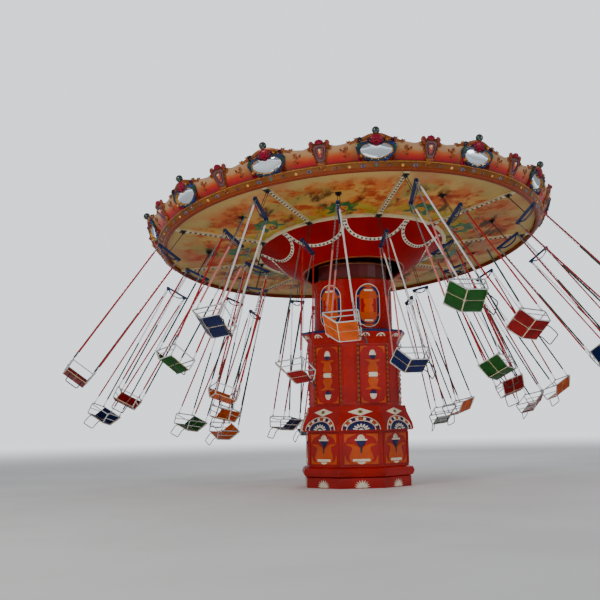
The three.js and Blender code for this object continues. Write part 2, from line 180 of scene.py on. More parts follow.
def length(name, default, description):
    return FloatProperty(name=name, description=description, default=default, min=0.001, unit="LENGTH")


class RideSizes(bpy.types.PropertyGroup):
    """Sizes of the pieces that are drawn on the frame."""

    lamp_radius: length("Lamp radius", 0.028, "Radius of a lamp's globe")
    lamp_pitch: length("Lamp pitch", 0.115, "Distance between the lamps of a row")
    relief: length("Relief", 0.012, "How far the tower's carved ornament stands out")
    mirror_width: length("Mirror width", 0.70, "Width of a mirror's glass")
    mirror_height: length("Mirror height", 0.31, "Height of a mirror's glass")
    board_dip: length("Board dip", 0.430, "Height of the boards between their crests")
    mirror_crest: length("Mirror crest", 0.620, "Height of the boards over a mirror")
    lantern_crest: length("Lantern crest", 0.540, "Height of the boards over a lantern")
    tube_radius: length("Tube radius", 0.0145, "Radius of the chairs' tube frame")
    link_pitch: length("Link pitch", 0.052, "Distance from one chain link to the next")
    link_wire: length("Link wire", 0.0050, "Radius of the wire of a chain link")
    roof_gores: IntProperty(name="Roof gores", description="Number of strips in the roof", default=36, min=6)


class RideColours(bpy.types.PropertyGroup):
    """Colours of the ride's paints."""

    red: colour("Tower red", "a40c04")
    deep_red: colour("Panel red", "820a05")
    orange: colour("Ornament orange", "c24a06")
    cream: colour("Ornament cream", "e8dcc4")
    navy: colour("Ornament navy", "121a52")
    crimson: colour("Bowl crimson", "920a0c")
    ochre: colour("Ceiling ochre", "c4964a")
    rib: colour("Rib cream", "d6c698")
    gilt: colour("Gilt", "8e4c12")
    brown: colour("Rim brown", "7e4a1e")
    teal: colour("Frame teal", "0c2a40")
    leaf: colour("Leaf green", "14562a")


# Shader nodes

def operator(operation):
    """A method that puts a Math node's operation on two amounts."""
    return lambda self, other: self.maths(operation, self, other)


class Amount:
    """A number that runs through a material's nodes, for use in sums."""

    def __init__(self, finish, socket):
        self.finish = finish
        self.socket = socket

    def maths(self, operation, first, second=0.0):
        """The amount that a Math node makes of two."""
        made = self.finish.node("ShaderNodeMath", {"operation": operation}, {0: first, 1: second})
        return Amount(self.finish, made.outputs[0])

    __add__ = __radd__ = operator("ADD")
    __mul__ = __rmul__ = operator("MULTIPLY")
    __sub__ = operator("SUBTRACT")
    __truediv__ = operator("DIVIDE")
    __mod__ = operator("FLOORED_MODULO")
    __pow__ = operator("POWER")
    __lt__ = operator("LESS_THAN")

    def __rsub__(self, other):
        return self.maths("SUBTRACT", other, self)

    def __abs__(self):
        return self.maths("ABSOLUTE", self)

    def band(self, low, high):
        """0 below low, 1 above high and smooth between."""
        inputs = {"Value": self, "From Min": low, "From Max": high}
        made = self.finish.node("ShaderNodeMapRange", {"interpolation_type": "SMOOTHSTEP"}, inputs)
        return Amount(self.finish, made.outputs[0])

    def ramp(self, *stops):
        """Colours that change along the amount, with stops of place and colour."""
        return self.finish.node("ShaderNodeValToRGB", {"stops": stops}, {0: self}).outputs[0]

    def mix(self, first, second):
        """From the first colour to the second as the amount goes from 0 to 1."""
        inputs = {0: self, 6: first, 7: second}
        return self.finish.node("ShaderNodeMix", {"data_type": "RGBA"}, inputs).outputs[2]

    def faded(self, base, low=0.82, high=1.14, start=0.35, end=0.68):
        """From one shade of a colour to another as the amount goes from start to end."""
        return self.band(start, end).mix(shade_of(base, low), shade_of(base, high))


class Nodes:
    """A tree of nodes as it is put together."""

    def node(self, kind, settings=None, inputs=None):
        """A node of a kind, its settings made first and then the values or links of its sockets."""
        made = self.tree.nodes.new(kind)
        for name, value in (settings or {}).items():
            if name == "stops":
                self._set_stops(made.color_ramp.elements, value)
            else:
                setattr(made, name, value)
        for key, value in (inputs or {}).items():
            self.feed(made.inputs[key], value)
        return made

    @staticmethod
    def _set_stops(elements, stops):
        while len(elements) < len(stops):
            elements.new(0.5)
        for element, (place, shade) in zip(elements, stops):
            element.position = place
            element.color = (*tint(shade), 1)

    def feed(self, socket, value):
        """Links a socket to another one or to an amount, or sets its value."""
        if isinstance(value, Amount):
            value = value.socket
        if isinstance(value, bpy.types.NodeSocket):
            self.tree.links.new(value, socket)
        elif socket.type == "RGBA":
            socket.default_value = (*tint(value), 1)
        else:
            socket.default_value = value


class Finish(Nodes):
    """A procedural material as it is put together."""

    def __init__(self, name, fixed):
        self.material = bpy.data.materials.new(name)
        self.material.use_nodes = True
        self.tree = self.material.node_tree
        self.tree.nodes.clear()
        output = self.node("ShaderNodeOutputMaterial")
        self.shader = self.node("ShaderNodeBsdfPrincipled", {}, fixed)
        self.tree.links.new(self.shader.outputs[0], output.inputs[0])
        self.coordinates = self.node("ShaderNodeTexCoord").outputs["Object"]

    def noise(self, scale, detail=3, roughness=0.55, at=None, stretch=None):
        """Cloudy noise, with scale blotches to a metre."""
        at = at or self.coordinates
        if stretch:
            at = self.node("ShaderNodeMapping", {}, {"Vector": at, "Scale": stretch}).outputs[0]
        inputs = {"Vector": at, "Scale": scale, "Detail": detail, "Roughness": roughness}
        return Amount(self, self.node("ShaderNodeTexNoise", {}, inputs).outputs[0])

    def cells(self, scale):
        """Distance to the nearest of scattered points, with scale points to a metre."""
        inputs = {"Vector": self.coordinates, "Scale": scale}
        return Amount(self, self.node("ShaderNodeTexVoronoi", {}, inputs).outputs["Distance"])

    def worn(self, tone, dust, roughness, strength, height=None, chips=0):
        """Paints a colour under a film of dust, which dulls it, with a few chips."""
        grime = self.noise(9, 6, 0.65)
        tone = (grime.band(0.52, 0.8) * dust).mix(tone, DUST)
        if chips:
            tone = (self.noise(26, 5, 0.7).band(0.70, 0.73) * chips).mix(tone, CHIP)
        return self.paint(tone, grime.band(0.4, 0.8) * 0.22 + roughness, height or grime, 0.0008, strength)

    def paint(self, base, roughness, height=None, depth=0.001, strength=0.3, metallic=None):
        """Feeds the shader's colour, roughness and bump, and gives the material back."""
        self.feed(self.shader.inputs["Base Color"], base)
        self.feed(self.shader.inputs["Roughness"], roughness)
        if metallic is not None:
            self.feed(self.shader.inputs["Metallic"], metallic)
        if height is not None:
            inputs = {"Height": height, "Distance": depth, "Strength": strength}
            bump = self.node("ShaderNodeBump", {}, inputs)
            self.feed(self.shader.inputs["Normal"], bump.outputs["Normal"])
        return self.material

    def canopy_space(self):
        """Coordinates in the canopy's frame."""
        inverse = CANOPY.inverted()
        inputs = {"Vector": self.coordinates, "Location": inverse.translation,
                  "Rotation": inverse.to_euler("XYZ")}
        return self.node("ShaderNodeMapping", {"vector_type": "POINT"}, inputs).outputs[0]

    def parts(self, at):
        """The three parts of a position."""
        apart = self.node("ShaderNodeSeparateXYZ", {}, {0: at})
        return tuple(Amount(self, socket) for socket in apart.outputs)

    def polar(self, at):
        """Radius, azimuth in degrees from -Y towards +X, and height."""
        x, y, z = self.parts(at)
        return (x * x + y * y) ** 0.5, x.maths("ARCTAN2", x, y * -1) * (180 / math.pi), z

    def below_ceiling(self, drop):
        """1 where a point lies more than a drop under the ceiling's facets, and 0 above."""
        radius, azimuth, height = self.polar(self.canopy_space())
        half = FACET_STEP / 2
        near = ((azimuth + 360 + half) % FACET_STEP - half) * (math.pi / 180)
        square = radius * near.maths("COSINE", near) / math.cos(math.radians(half))
        return ((square - EDGE_R) * CEILING_SLOPE - drop - height).band(-0.0006, 0.0006)


def coated(name, coat, roughness=0.03, shine=0.5):
    """A finish under a clear coat."""
    return Finish(name, {"Coat Weight": coat, "Coat Roughness": roughness, "Specular IOR Level": shine})


DUST = (0.24, 0.18, 0.12)
CHIP = (0.30, 0.20, 0.15)
PLATE_BLACK = "1b1a1c"


def shade_of(base, factor):
    return tuple(min(1.0, part * factor) for part in tint(base))


def enamel(name, base, roughness=0.34, coat=0.07, dust=0.12, chips=0, shine=0.3):
    """Brushed gloss enamel: faded in patches, dusty in others, with a few chips."""
    finish = coated(name, coat, 0.12, shine)
    tone = finish.noise(1.3, 4).faded(base)
    strokes = finish.noise(55, 2, stretch=(1, 1, 0.12))
    return finish.worn(tone, dust, roughness, 0.25, strokes, chips)


def gilding(name, base):
    """Worn gilt paint over brown."""
    finish = coated(name, 0.2, 0.2)
    wear = finish.noise(18, 6, 0.7)
    tone = wear.faded(base, 1.35, 0.55, 0.40, 0.62)
    metal = 0.55 - wear.band(0.40, 0.62) * 0.45
    return finish.paint(tone, wear.band(0.3, 0.8) * 0.3 + 0.28, wear, 0.002, 0.3, metal)


def jewel(name, base):
    """Moulded glassy plastic."""
    finish = coated(name, 1.0)
    swirl = finish.noise(30, 2)
    return finish.paint(swirl.faded(base, 0.6, 1.25, 0.35, 0.65), 0.08 + swirl * 0.06)


def lamp_globe():
    """Unlit dark glass globe with a film of dust."""
    finish = coated("lamp_globe", 1.0, 0.04)
    film = finish.noise(40, 3)
    tone = film.band(0.4, 0.7).mix("1a120e", "4a3a26")
    return finish.paint(tone, film.band(0.3, 0.8) * 0.2 + 0.1)


def ceiling_paint(colours):
    """Painted sky: ochre and olive with dusty pink, rust and dark brown strokes, green-gold by the bowl."""
    finish = coated("ceiling_sky", 0.02, 0.3, 0.12)
    at = finish.canopy_space()
    radius, azimuth, _ = finish.polar(at)
    broad = finish.noise(0.55, 3, 0.5, at)
    fine = finish.noise(2.6, 7, 0.68, at)
    streaks = finish.noise(0.75, 6, 0.62, at, (1.0, 1.9, 1.0))
    inner = 1 - radius.band(3.85, 4.40)
    sky = broad.band(0.42, 0.58).mix(colours.ochre, "98823e")
    sky = (radius.band(3.7, 4.3) * 0.7).mix(sky, "b89e64")
    blush = finish.noise(0.45, 2, 0.5, at).band(0.50, 0.60)
    sky = (blush * 0.55).mix(sky, "a8684a")
    cloud = (streaks * 0.65 + fine * 0.35).band(0.46, 0.55) * (inner * 0.92 + 0.05)
    sky = (cloud * 0.85).mix(sky, "c05a22")
    rosy = fine.band(0.49, 0.60) * streaks.band(0.44, 0.52) * inner
    sky = (rosy * 0.8).mix(sky, "983018")
    shadow = finish.noise(0.7, 5, 0.66, at, (2.6, 1.0, 1.0)).band(0.53, 0.62)
    sky = (shadow * (1 - radius.band(3.5, 4.1)) * 0.9).mix(sky, "3a1e0e")
    moss = finish.noise(2.2, 4, 0.6, at, (1.0, 1.4, 3.0)).band(0.42, 0.56)
    sky = (moss * (1 - radius.band(2.70, 3.15)) * 0.8).mix(sky, "9c9024")
    seam = abs((azimuth + 360) % FACET_STEP - FACET_STEP / 2).band(0.045, 0.03) * 0.35
    sky = seam.mix(sky, "7a5a2c")
    sky = finish.below_ceiling(0.002).mix(sky, PLATE_BLACK)
    return finish.paint(sky, fine.band(0.3, 0.8) * 0.2 + 0.4, fine, 0.002, 0.2)


def board_paint():
    """Rounding boards: tan, with a sunset glow from cream down to red on each side of a lantern."""
    finish = coated("board_sunset", 0.08, 0.15, 0.3)
    at = finish.canopy_space()
    _, azimuth, height = finish.polar(at)
    smoke = finish.noise(3.2, 4, 0.6, at)
    level = (height - RIM_TOP) / 0.36 + (smoke - 0.5) * 0.35
    off = abs((azimuth + 360 - MIRROR_AZIMUTH) % MIRROR_STEP - MIRROR_STEP / 2)
    bright = level.ramp(
        (0.0, "8c0420"), (0.16, "a40c12"), (0.34, "b42e0e"), (0.50, "b65e2a"), (0.64, "b28456"),
        (1.0, "b48e6c"))
    dull = level.ramp((0.0, "6c160c"), (0.25, "8c3a12"), (0.52, "9e6232"), (1.0, "ae885c"))
    tone = (off + (smoke - 0.5) * 5.0).band(9.5, 6.0).mix(dull, bright)
    grime = finish.noise(11, 5, 0.65)
    tone = (grime.band(0.55, 0.8) * 0.3).mix(tone, "5a2812")
    return finish.paint(tone, grime.band(0.4, 0.8) * 0.2 + 0.3, grime, 0.001, 0.15)


def rim_paint(colours):
    """Rim moulding: brown, with a red-brown lip along its foot."""
    finish = coated("rim_brown", 0.05, 0.15, 0.12)
    height = finish.parts(finish.canopy_space())[2]
    tone = finish.noise(2.4, 4).faded(colours.brown, 0.74)
    tone = height.band(-0.010, -0.016).mix(tone, "843414")
    return finish.worn(tone, 0.2, 0.34, 0.25)


def roof_paint(gores):
    """Coated roof sheet in alternate gores, with dirt washed down from the top."""
    finish = coated("roof_gores", 0.05)
    at = finish.canopy_space()
    radius, azimuth, _ = finish.polar(at)
    pair = 2 * 360 / gores
    stripe = (azimuth + 360) % pair < pair / 2
    streak = finish.noise(7, 5, 0.65, at)
    tone = stripe.mix("d9c79c", "a9381f")
    tone = (streak.band(0.45, 0.75) * 0.45).mix(tone, DUST)
    tone = (radius.band(3.6, 4.5) * 0.35).mix(tone, "6a5436")
    weave = finish.noise(240, 1)
    return finish.paint(tone, streak.band(0.3, 0.8) * 0.2 + 0.5, weave, 0.0006, 0.3)


def cornice_paint(colours):
    """Tower cornice: red, with a navy edge along its top."""
    finish = coated("cornice_enamel", 0.04, 0.12, 0.2)
    height = finish.parts(finish.coordinates)[2]
    tone = finish.noise(1.3, 4).faded(colours.red, 0.85, 1.0)
    tone = height.band(3.696, 3.700).mix(tone, colours.navy)
    return finish.worn(tone, 0.14, 0.28, 0.2)


def mast_paint(colours):
    """Mast: red with six tall painted cartouches round it, white-lined and ringed with blocks."""
    finish = coated("mast_enamel", 0.02, 0.12, 0.12)
    _, azimuth, height = finish.polar(finish.coordinates)
    across = ((azimuth + 360 - WIDE_SIDES[0] + 30) % 60.0 - 30) * (math.pi / 180 * MAST_PAINT_R)
    over = height.maths("MAXIMUM", height - CARTOUCHE_HIGH, CARTOUCHE_LOW - height)
    over = height.maths("MAXIMUM", over, 0.0)
    inside = CARTOUCHE_HALF - (across * across + over * over) ** 0.5
    up = abs(height - CARTOUCHE_MIDDLE)
    tone = finish.noise(1.3, 4).faded(colours.red, 0.85, 1.0)
    tone = inside.band(0.0, 0.003).mix(tone, colours.cream)
    tone = inside.band(0.018, 0.021).mix(tone, colours.navy)
    gaps = ((up * 4.0) % 1.0).band(0.78, 0.80)
    belt = inside.band(0.026, 0.029) * inside.band(0.084, 0.081)
    tone = (belt * gaps).mix(tone, colours.orange)
    tone = inside.band(0.092, 0.095).mix(tone, colours.orange)
    core = inside.band(0.120, 0.123) * up.band(0.17, 0.16)
    tone = core.mix(tone, colours.red)
    spray = 0.085 + up.maths("SINE", up * 15.0) * 0.045
    spray = core * (spray - abs(across)).band(0.0, 0.004)
    tone = spray.mix(tone, shade_of(colours.orange, 1.25))
    bar = (0.115 - abs(across)).band(0.0, 0.004)
    bar = bar * (0.022 - abs(up - 0.365)).band(0.0, 0.003)
    tone = bar.mix(tone, colours.cream)
    return finish.worn(tone, 0.14, 0.26, 0.2)


def rib_paint(colours):
    """Ribs in cream, with the plates that the chairs hang from in black."""
    finish = coated("rib_enamel", 0.2, 0.25)
    fade = finish.noise(3, 5, 0.65)
    tone = fade.faded(colours.rib, 0.8, 1.1, 0.35, 0.7)
    tone = finish.below_ceiling(0.0468).mix(tone, PLATE_BLACK)
    return finish.paint(tone, fade.band(0.3, 0.8) * 0.2 + 0.35, fade, 0.0008, 0.2)


def seat_paint(name, base):
    """Seat panel: chipped, scuffed enamel, dusty on top."""
    finish = coated(name, 0.02, 0.2, 0.1)
    scuff = finish.noise(38, 6, 0.7, stretch=(1, 0.25, 1))
    tone = finish.noise(5, 4).faded(base, 0.78, 1.2, 0.35, 0.65)
    tone = (scuff.band(0.62, 0.76) * 0.16).mix(tone, DUST)
    return finish.paint(tone, scuff.band(0.4, 0.75) * 0.3 + 0.3, scuff, 0.0006, 0.2)


def steel(name, base, roughness=0.38):
    """Zinc-coated steel with cloudy spangles and rust in the corners."""
    finish = Finish(name, {})
    spangle = finish.cells(90)
    rust = finish.noise(22, 6, 0.7).band(0.60, 0.75)
    tone = (rust * 0.6).mix(spangle.faded(base, 0.8, 1.2, 0.1, 0.7), "6b3b1e")
    return finish.paint(tone, rust * 0.3 + roughness, spangle, 0.0004, 0.2, 0.9 - rust * 0.7)


def sleeve(name, base):
    """Soft plastic sleeve over a chain, lumpy from the links inside."""
    finish = coated(name, 0.05, 0.3, 0.25)
    grime = finish.noise(24, 5, 0.65)
    tone = (grime.band(0.45, 0.8) * 0.5).mix(base, shade_of(DUST, 0.8))
    return finish.paint(tone, grime.band(0.3, 0.8) * 0.25 + 0.4, grime, 0.001, 0.3)


def mirror_glass():
    """Silvered glass with foxing and dust."""
    finish = Finish("mirror_silver", {})
    fox = finish.noise(16, 6, 0.7).band(0.60, 0.80)
    tone = fox.mix("dfe8ee", "7f7a6c")
    return finish.paint(tone, fox * 0.35 + 0.05, metallic=1 - fox * 0.6)


SKY = (0.90, 0.93, 1.0)
SKY_STRENGTH = 1.5


def floor_paint():
    """Pale smooth concrete that fades into the backdrop far from the ride."""
    finish = Finish("pale_floor", {"Roughness": 0.8, "Emission Strength": SKY_STRENGTH})
    cloud = finish.noise(0.25, 5)
    grain = finish.noise(12, 4)
    tone = cloud.band(0.3, 0.7).mix("eeece8", "f6f5f2")
    far = finish.polar(finish.coordinates)[0].band(14, 60)
    finish.feed(finish.shader.inputs["Emission Color"], far.mix((0, 0, 0), SKY))
    return finish.paint(far.mix(tone, (0, 0, 0)), grain * 0.1 + 0.75, grain, 0.002, 0.1)


def make_finishes(colours, sizes):
    """Every material of the ride, by name."""
    made = {
        "red": enamel("tower_red", colours.red, chips=0.6),
        "deep_red": enamel("panel_red", colours.deep_red),
        "orange": enamel("ornament_orange", colours.orange),
        "cream": enamel("ornament_cream", colours.cream, dust=0.3),
        "navy": enamel("ornament_navy", colours.navy),
        "turret": enamel("turret_red", "5c0c06", 0.4),
        "crimson": enamel("bowl_crimson", colours.crimson, 0.45, 0.0, 0.04, shine=0.04),
        "shell": enamel("crest_crimson", "90102c", 0.3, 0.15, 0.08, shine=0.2),
        "rim": rim_paint(colours),
        "welt": enamel("roof_welt", colours.brown, 0.4, 0.05, 0.2),
        "rim_foot": enamel("rim_foot_red", "6c1c0a", 0.35),
        "teal": enamel("frame_teal", colours.teal, 0.25, 0.3, 0.08),
        "blue": enamel("frame_blue", "0c2a8c", 0.25, 0.3, 0.08),
        "purple": enamel("frame_purple", "40123e", 0.25, 0.3, 0.08),
        "mauve": enamel("shield_mauve", "7c4a40", 0.35, 0.1, 0.1),
        "lilac": enamel("trim_lilac", "74667c", 0.35, 0.1, 0.1),
        "rose": enamel("trim_rose", "863c2c", 0.35, 0.1, 0.15),
        "magenta": enamel("trim_magenta", "96063c", 0.28, 0.3, 0.08),
        "leaf": enamel("leaf_green", colours.leaf, 0.35),
        "yellow": enamel("flower_yellow", "dca01c", 0.3),
        "frame_steel": enamel("canopy_steel", "5b4a3a", 0.45, 0.1),
        "hanger": enamel("hanger_navy", "0b2250", 0.35, 0.06, 0.12, 0.7),
        "tube": enamel("tube_grey", "c4c6c6", 0.3, 0.2, 0.25, 0.5),
        "border": enamel("seat_border", "c8b490", 0.4, 0.04, 0.3),
        "foot": enamel("foot_dark", "22262c", 0.4, 0.2, 0.4, 0.5),
        "gilt": gilding("gilt", colours.gilt),
        "bright_gilt": gilding("bright_gilt", "b87a1e"),
        "ball": jewel("ball_green", "082c1a"),
        "glow": jewel("lantern_glow", "e87a18"),
        "flame": jewel("lantern_flame", "a01808"),
        "pearl": jewel("lantern_pearl", "f4e2b8"),
        "lamp": lamp_globe(),
        "ceiling": ceiling_paint(colours),
        "board": board_paint(),
        "roof": roof_paint(sizes.roof_gores),
        "cornice": cornice_paint(colours),
        "mast": mast_paint(colours),
        "ribs": rib_paint(colours),
        "moss": enamel("leaf_moss", "3f6a1a", 0.4),
        "mirror": mirror_glass(),
        "steel": steel("chain_zinc", "8f9092"),
        "dark_steel": steel("head_steel", "4b4d52", 0.45),
    }
    for make, bases in (
            (jewel, {"jewel_red": "4c0410", "jewel_blue": "0e1a4a", "jewel_gold": "d09028",
                     "jewel_green": "0c5a30"}),
            (sleeve, {"sleeve_white": "e6dcd6", "sleeve_red": "a81014", "sleeve_pink": "d8807a",
                      "sleeve_green": "14423a"}),
            (seat_paint, {"seat_green": "0c4410", "seat_blue": "03113e", "seat_red": "780408",
                          "seat_orange": "b44602"})):
        made |= {name: make(name, base) for name, base in bases.items()}
    FINISHES.update(made)


FINISHES = {}


# Shapes: each gives corners and faces, flat ones as across, height and proud

def swept_faces(sections, size, closed=True, capped=True):
    """Faces that join each section to the next, and close the ends of an open sweep."""
    faces = []
    for i in range(sections if closed else sections - 1):
        low, high = size * i, size * ((i + 1) % sections)
        faces += [(low + k, high + k, high + (k + 1) % size, low + (k + 1) % size) for k in range(size)]
    if capped and not closed:
        faces += [tuple(range(size)), tuple(size * (sections - 1) + k for k in reversed(range(size)))]
    return faces


def plaque(outline, rings, centre=None):
    """Raised plate whose outline steps inwards to its middle through rings of scale and proud."""
    outline = np.asarray(outline, float)
    middle = outline.mean(0) if centre is None else np.asarray(centre, float)
    count = len(outline)
    loops = [np.column_stack([middle + (outline - middle) * scale, np.full(count, proud)])
             for scale, proud in rings]
    foot, head = ([[*middle, proud]] for proud in (rings[0][1], rings[-1][1]))
    last = 1 + count * len(rings)
    faces = [(0, 1 + (i + 1) % count, 1 + i) for i in range(count)]
    faces += [tuple(1 + v for v in face) for face in swept_faces(len(rings), count, False, False)]
    faces += [(last - count + i, last - count + (i + 1) % count, last) for i in range(count)]
    return np.vstack([foot, *loops, head]), faces


def raised(outline, proud, sunk=0.006, centre=None, steps=3):
    """Plate with a rounded shoulder, low in relief."""
    rings = [(1.0, -sunk), (1.0, proud * 0.55), (0.93, proud * 0.9)]
    rings += [(0.93 * (1 - k / steps), proud * (1 + 0.12 * k / steps)) for k in range(1, steps)]
    return plaque(outline, rings, centre)


def dome(outline, proud, sunk=0.006, steps=3, centre=None):
    """Plate that swells to its middle."""
    turns = np.radians(np.arange(steps + 1) * 80 / steps)
    rings = [(1.0, -sunk), *zip(np.cos(turns), proud * np.sin(turns))]
    return plaque(outline, rings, centre)


def hoop(outline, inner, proud, sunk=0.006, centre=(0, 0)):
    """Flat ring between an outline and another, or the same one made smaller about a centre."""
    if np.isscalar(inner):
        inner = centre + (outline - centre) * inner
    loops = [(0, -sunk), (0, proud * 0.7), (0.2, proud), (0.8, proud), (1, proud * 0.7), (1, -sunk)]
    points = [np.column_stack([outline + (inner - outline) * part, np.full(len(outline), rise)])
              for part, rise in loops]
    return np.vstack(points), swept_faces(len(loops), len(outline))


def headings(path, closed):
    """Unit steps along a path."""
    along = np.roll(path, -1, 0) - np.roll(path, 1, 0) if closed else np.gradient(path, axis=0)
    return along / np.maximum(np.linalg.norm(along, axis=1), 1e-9)[:, None]


def beside(path, closed=False):
    """Unit steps to the left of a flat path."""
    along = headings(path, closed)
    return np.column_stack([-along[:, 1], along[:, 0]])


def ribbon(path, widths, proud, sunk=0.006, closed=False):
    """Carved band along a flat path, domed across, with a half width for each point."""
    path = np.asarray(path, float)
    count = len(path)
    widths = np.broadcast_to(np.asarray(widths, float), (count,))
    across = beside(path, closed) * widths[:, None]
    section = [(-1, -sunk), (-0.85, proud * 0.5), (0, proud), (0.85, proud * 0.5), (1, -sunk)]
    lines = [np.column_stack([path + across * side, np.full(count, height)]) for side, height in section]
    return np.stack(lines, 1).reshape(-1, 3), swept_faces(count, len(section), closed)


def tube(path, radius, sides=8, closed=False, up=(0, 0, 1)):
    """Round tube along a path in space, its radius one number or one for each point."""
    path = np.asarray(path, float)
    count = len(path)
    radii = np.broadcast_to(np.asarray(radius, float), (count,))
    along = headings(path, closed)
    side = np.cross(along[0], up)
    if np.linalg.norm(side) < 1e-3:
        side = np.cross(along[0], (1, 0.01, 0))
    turns = np.radians(np.arange(sides) * 360 / sides)
    points = np.zeros((count, sides, 3))
    for i in range(count):
        side = side - along[i] * (side @ along[i])
        side /= np.linalg.norm(side)
        over = np.cross(side, along[i])
        points[i] = path[i] + (np.outer(np.cos(turns), side) + np.outer(np.sin(turns), over)) * radii[i]
    return points.reshape(-1, 3), swept_faces(count, sides, closed)


def round_axis(radius, turn, height):
    """Places at a radius and a height, turned by radians from -Y towards +X."""
    return np.column_stack(np.broadcast_arrays(radius * np.sin(turn), -radius * np.cos(turn), height))


def circle(radius, height, step, start=0):
    """Points of a circle round the axis, one at each step of degrees."""
    return round_axis(radius, np.radians(np.arange(start, 360 + start, step)), height)


def ring(centre, radius, first, second, step=30):
    """Points of a circle round a centre, in the plane of two axes."""
    turns = np.radians(np.arange(0, 360, step))
    points = np.tile(centre, (len(turns), 1))
    points[:, first] += radius * np.cos(turns)
    points[:, second] += radius * np.sin(turns)
    return points


def lathe(profile, steps):
    """Closed profile of radius and height carried round the axis."""
    radius, height = np.asarray(profile, float).T
    sections = [round_axis(radius, turn, height) for turn in np.radians(np.arange(steps) * 360 / steps)]
    return np.vstack(sections), swept_faces(steps, len(profile))


def ball(centre, radius, sides, rings):
    turns = np.radians(np.linspace(-90, 90, rings + 1))
    profile = np.column_stack([radius * np.cos(turns), radius * np.sin(turns)])
    points, faces = lathe([*profile, (0, radius), (0, -radius)], sides)
    return points + centre, faces


def beam(low, high, bevel):
    """Box with chamfered edges: each corner is three points, one in each of its faces."""
    low, high = np.array((low, high))
    middle, half = (low + high) / 2, (high - low) / 2
    signs = list(product((-1, 1), repeat=3))
    points = [middle + sign * np.where(np.arange(3) == face, half, half - bevel)
              for sign in signs for face in range(3)]

    def number(face, axis, corner):
        """Number of the point of a face at a corner, whose signs are counted from an axis."""
        return 3 * signs.index(tuple(np.roll(corner, axis))) + face

    faces = [(3 * s, 3 * s + 1, 3 * s + 2) for s in range(len(signs))]
    for axis in range(3):
        b, c = (axis + 1) % 3, (axis + 2) % 3
        for end in (-1, 1):
            round_face = ((-1, -1), (1, -1), (1, 1), (-1, 1))
            faces.append(tuple(number(axis, axis, (end, u, v)) for u, v in round_face))
        for u, v in product((-1, 1), repeat=2):
            edge = ((b, -1), (b, 1), (c, 1), (c, -1))
            faces.append(tuple(number(face, axis, (end, u, v)) for face, end in edge))
    return np.array(points), faces


# Flat outlines

def arc_path(wide, high, start, end, count, centre=(0, 0)):
    """Arc of an oval, from one angle to another."""
    turns = np.radians(np.linspace(start, end, count))
    return np.column_stack([centre[0] + wide * np.cos(turns), centre[1] + high * np.sin(turns)])


def oval(wide, high, count, centre=(0, 0)):
    return arc_path(wide, high, 0, 360 - 360 / count, count, centre)


def box_outline(low, high, corner, count=3):
    """Rectangle with rounded corners."""
    (x0, y0), (x1, y1) = np.add(low, corner), np.subtract(high, corner)
    middles = ((x1, y1), (x0, y1), (x0, y0), (x1, y0))
    return np.vstack([
        arc_path(corner, corner, 90 * k, 90 * k + 90, count + 1, middle) for k, middle in enumerate(middles)])


def petal(long, width):
    """Leaf or petal that points upwards from the origin."""
    t = np.linspace(0, 1, 6)
    right = np.column_stack([width * np.sin(np.pi * t ** 0.75), t * long])
    return np.vstack([right, right[-2:0:-1] * (-1, 1)])


def mirrored(outline):
    """The right half of an outline, from its foot to its top, completed on the left."""
    right = np.asarray(outline, float)
    left = right[::-1] * (-1, 1)
    return np.vstack([right, left[np.abs(left[:, 0]) > 1e-6]])


def turned_by(points, angle):
    """Flat points turned about the origin."""
    c, s = math.cos(math.radians(angle)), math.sin(math.radians(angle))
    return points @ np.array([[c, s], [-s, c]])


def smooth_path(points, count):
    """Smooth curve through a few points."""
    points = np.asarray(points, float)
    padded = np.vstack([2 * points[0] - points[1], points, 2 * points[-1] - points[-2]])
    result = []
    for value in np.linspace(0, len(points) - 1, count):
        k = min(int(value), len(points) - 2)
        f = value - k
        a, b, c, d = padded[k:k + 4]
        result.append(0.5 * (2 * b + (c - a) * f + (2 * a - 5 * b + 4 * c - d) * f ** 2
                             + (3 * b - a - 3 * c + d) * f ** 3))
    return np.array(result)


def scroll(start, angle, size, turns, hand, count):
    """Spiral that leaves its start at an angle and curls in, and the half widths of its band."""
    t = np.linspace(0, 1, count)
    heading = math.radians(angle) + hand * turns * 2 * math.pi * t ** 1.25
    step = size * (1.25 - t) / count * 2.2
    path = np.cumsum(np.column_stack([np.cos(heading), np.sin(heading)]) * step[:, None], 0)
    widths = size * (0.09 * np.sin(np.pi * (0.12 + 0.80 * t)) + 0.012)
    return path - path[0] + start, widths


# Laying flat shapes on surfaces

class Skin:
    """The outside of a CAD node, on which flat ornament is laid."""

    def __init__(self, name, place=IDENTITY):
        faces = [tuple(face.vertices) for face in frame["nodes"][name].data.polygons]
        self.place = place
        self.tree = BVHTree.FromPolygons(node_points(name, place).tolist(), faces)

    def _laid(self, flat, way, start_of):
        laid = np.empty((len(flat), 3))
        for k, (across, height, proud) in enumerate(flat):
            hit = self.tree.ray_cast(start_of(across, height), -way)[0]
            if hit is None:
                raise ValueError(f"nothing lies under the ornament at {across:.3f}, {height:.3f}")
            laid[k] = hit + way * proud
        return moved(laid, self.place)

    def side(self, azimuth, reach=6.0):
        """Lays shapes on the flat side that faces an azimuth."""
        a = math.radians(azimuth)
        out, along = Vector((math.sin(a), -math.cos(a), 0)), Vector((math.cos(a), math.sin(a), 0))
        return lambda flat: self._laid(flat, out, lambda u, v: out * reach + along * u + Vector((0, 0, v)))

    def under(self, azimuth, depth=3.0):
        """Lays shapes on an underside, with the radius for a height."""
        def start_of(across, radius):
            a = math.radians(azimuth) + across / radius
            return Vector((radius * math.sin(a), -radius * math.cos(a), -depth))

        return lambda flat: self._laid(flat, Vector((0, 0, -1)), start_of)


def straight(matrix):
    """Carries shapes that are already drawn in space."""
    return lambda points: moved(points, matrix)


ON_CANOPY = straight(CANOPY)


